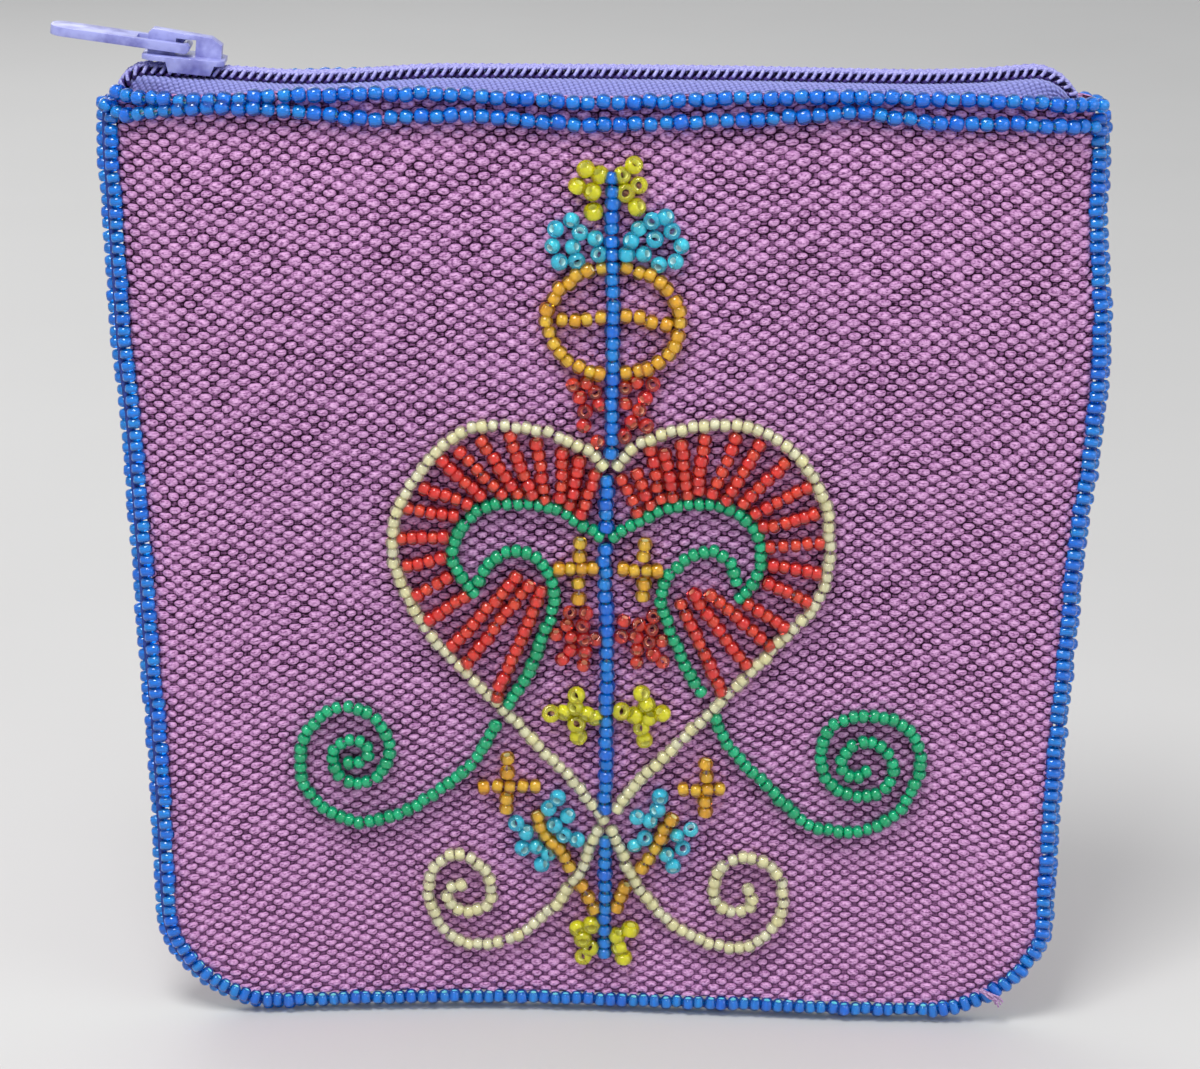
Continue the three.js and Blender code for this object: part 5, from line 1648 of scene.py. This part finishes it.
TUFT = [(48.4, 5.2), (49.1, 4.8), (49.8, 4.4), (50.5, 4.0), (51.0, 3.3)]
TUFT_DEPTH = -6.5
TUFT_STRANDS = 5
TUFT_RADIUS = 0.13
TUFT_SIDES = 6
TUFT_ROOT = 0.5          # how close the strands are at the root, of the spread at the tip
TUFT_SPREAD = 0.26
TUFT_WAVER = 0.08
TUFT_THICKNESS = 0.2     # spread of the strands in depth

chance = np.random.default_rng(5)
YARN = thread_material("mauve_yarn", (0.30, 0.15, 0.34), (0.62, 0.42, 0.66))
strands = []
for _ in range(TUFT_STRANDS):
    apart = np.linspace(TUFT_ROOT, 1.0, len(TUFT))[:, None] * chance.normal(0, TUFT_SPREAD, 2)
    across_up = np.array(TUFT) + apart + chance.normal(0, TUFT_WAVER, (len(TUFT), 2))
    depth = np.full(len(TUFT), TUFT_DEPTH + chance.normal(0, TUFT_THICKNESS))
    strands.append(smooth_route(np.stack([across_up[:, 0], depth, across_up[:, 1]], -1)))
add_piece("corner_yarn", sweep("corner_yarn", strands, TUFT_RADIUS, TUFT_SIDES, YARN))
print(len(strands), "strands at the corner")

# %% [markdown]
# ## Slider and pull
# The slider is cast metal under lavender paint, and its shape is already right in the
# imported model. The casting has soft edges, so the scene keeps the shape and rounds the
# edges with a bevel; the rounded edges get a painted highlight in lighter lavender.

# %% Slider and pull
EDGE_ROUNDING = 0.16
ROUNDING_STEPS = 2
WELD = 0.001             # points closer than this are one
FLAT_ANGLE = math.radians(4)     # faces that meet at less are one face
SHARP_ANGLE = math.radians(25)   # edges sharper than this are rounded
SHADE_ANGLE = math.radians(35)
PAINT_SHADES = (0.12, 0.12, 0.40), (0.155, 0.155, 0.47)
# painted highlight colour for the rounded edges
EDGE_HIGHLIGHT_COLOUR = (0.34, 0.36, 0.72)


def paint_material():
    """Lavender paint with a fine orange-peel, and a painted highlight in lighter lavender on its rounded
    edges.
    """
    material, tree, shader = new_material("lavender_paint", Roughness=0.35, Coat_Weight=0.3)
    where = add_node(tree, "ShaderNodeTexCoord").outputs["Object"]
    wear = add_node(tree, "ShaderNodeAttribute", attribute_name="wear").outputs["Fac"]
    mottle = noise(tree, where, 420.0, 4.0)
    peel = noise(tree, where, 1800.0)
    paint = blend_colours(tree, spread(tree, mottle, 0.3, 0.7), *PAINT_SHADES)
    # Painted highlight on the rounded edges, broken up by the mottle
    edge_highlight_mask = calc(tree, "MULTIPLY", wear, spread(tree, mottle, 0.3, 0.6))
    link_look(tree, shader, blend_colours(tree, edge_highlight_mask, paint, EDGE_HIGHLIGHT_COLOUR), peel, 0.15, 0.05)
    return material


def cast_mesh(node, material):
    """A CAD node's shape with rounded edges, marked where the painted edge highlight goes."""
    work = bmesh.new()
    work.from_mesh(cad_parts[node].data)
    bmesh.ops.remove_doubles(work, verts=work.verts, dist=WELD * MM)
    bmesh.ops.dissolve_limit(work, angle_limit=FLAT_ANGLE, verts=work.verts, edges=work.edges)
    sharp = [edge for edge in work.edges if edge.calc_face_angle(0) > SHARP_ANGLE]
    rounded = bmesh.ops.bevel(work, geom=sharp, offset=EDGE_ROUNDING * MM, segments=ROUNDING_STEPS,
                              profile=0.5, affect="EDGES", clamp_overlap=True)
    work.verts.index_update()
    highlighted_verts = {vertex.index for face in rounded["faces"] for vertex in face.verts}
    bmesh.ops.triangulate(work, faces=[face for face in work.faces if len(face.verts) > 4])
    mesh = bpy.data.meshes.new(node)
    work.to_mesh(mesh)
    work.free()
    mesh.shade_smooth()
    mesh.set_sharp_from_angle(angle=SHADE_ANGLE)
    store(mesh, "wear", [1.0 if k in highlighted_verts else 0.0 for k in range(len(mesh.vertices))])
    mesh.materials.append(material)
    return mesh


lavender_paint = paint_material()
for node, body in (("slider", "zip_slider"), ("slider_pull", "zip_pull")):
    mesh = cast_mesh(node, lavender_paint)
    add_piece(f"cast_{node}", mesh, [node], body)
    print(node, len(mesh.polygons), "faces")

# %% [markdown]
# ## Finish
# The single bead was only the pattern for the trees, so it goes.

# %% Finish
bpy.data.objects.remove(BEAD)
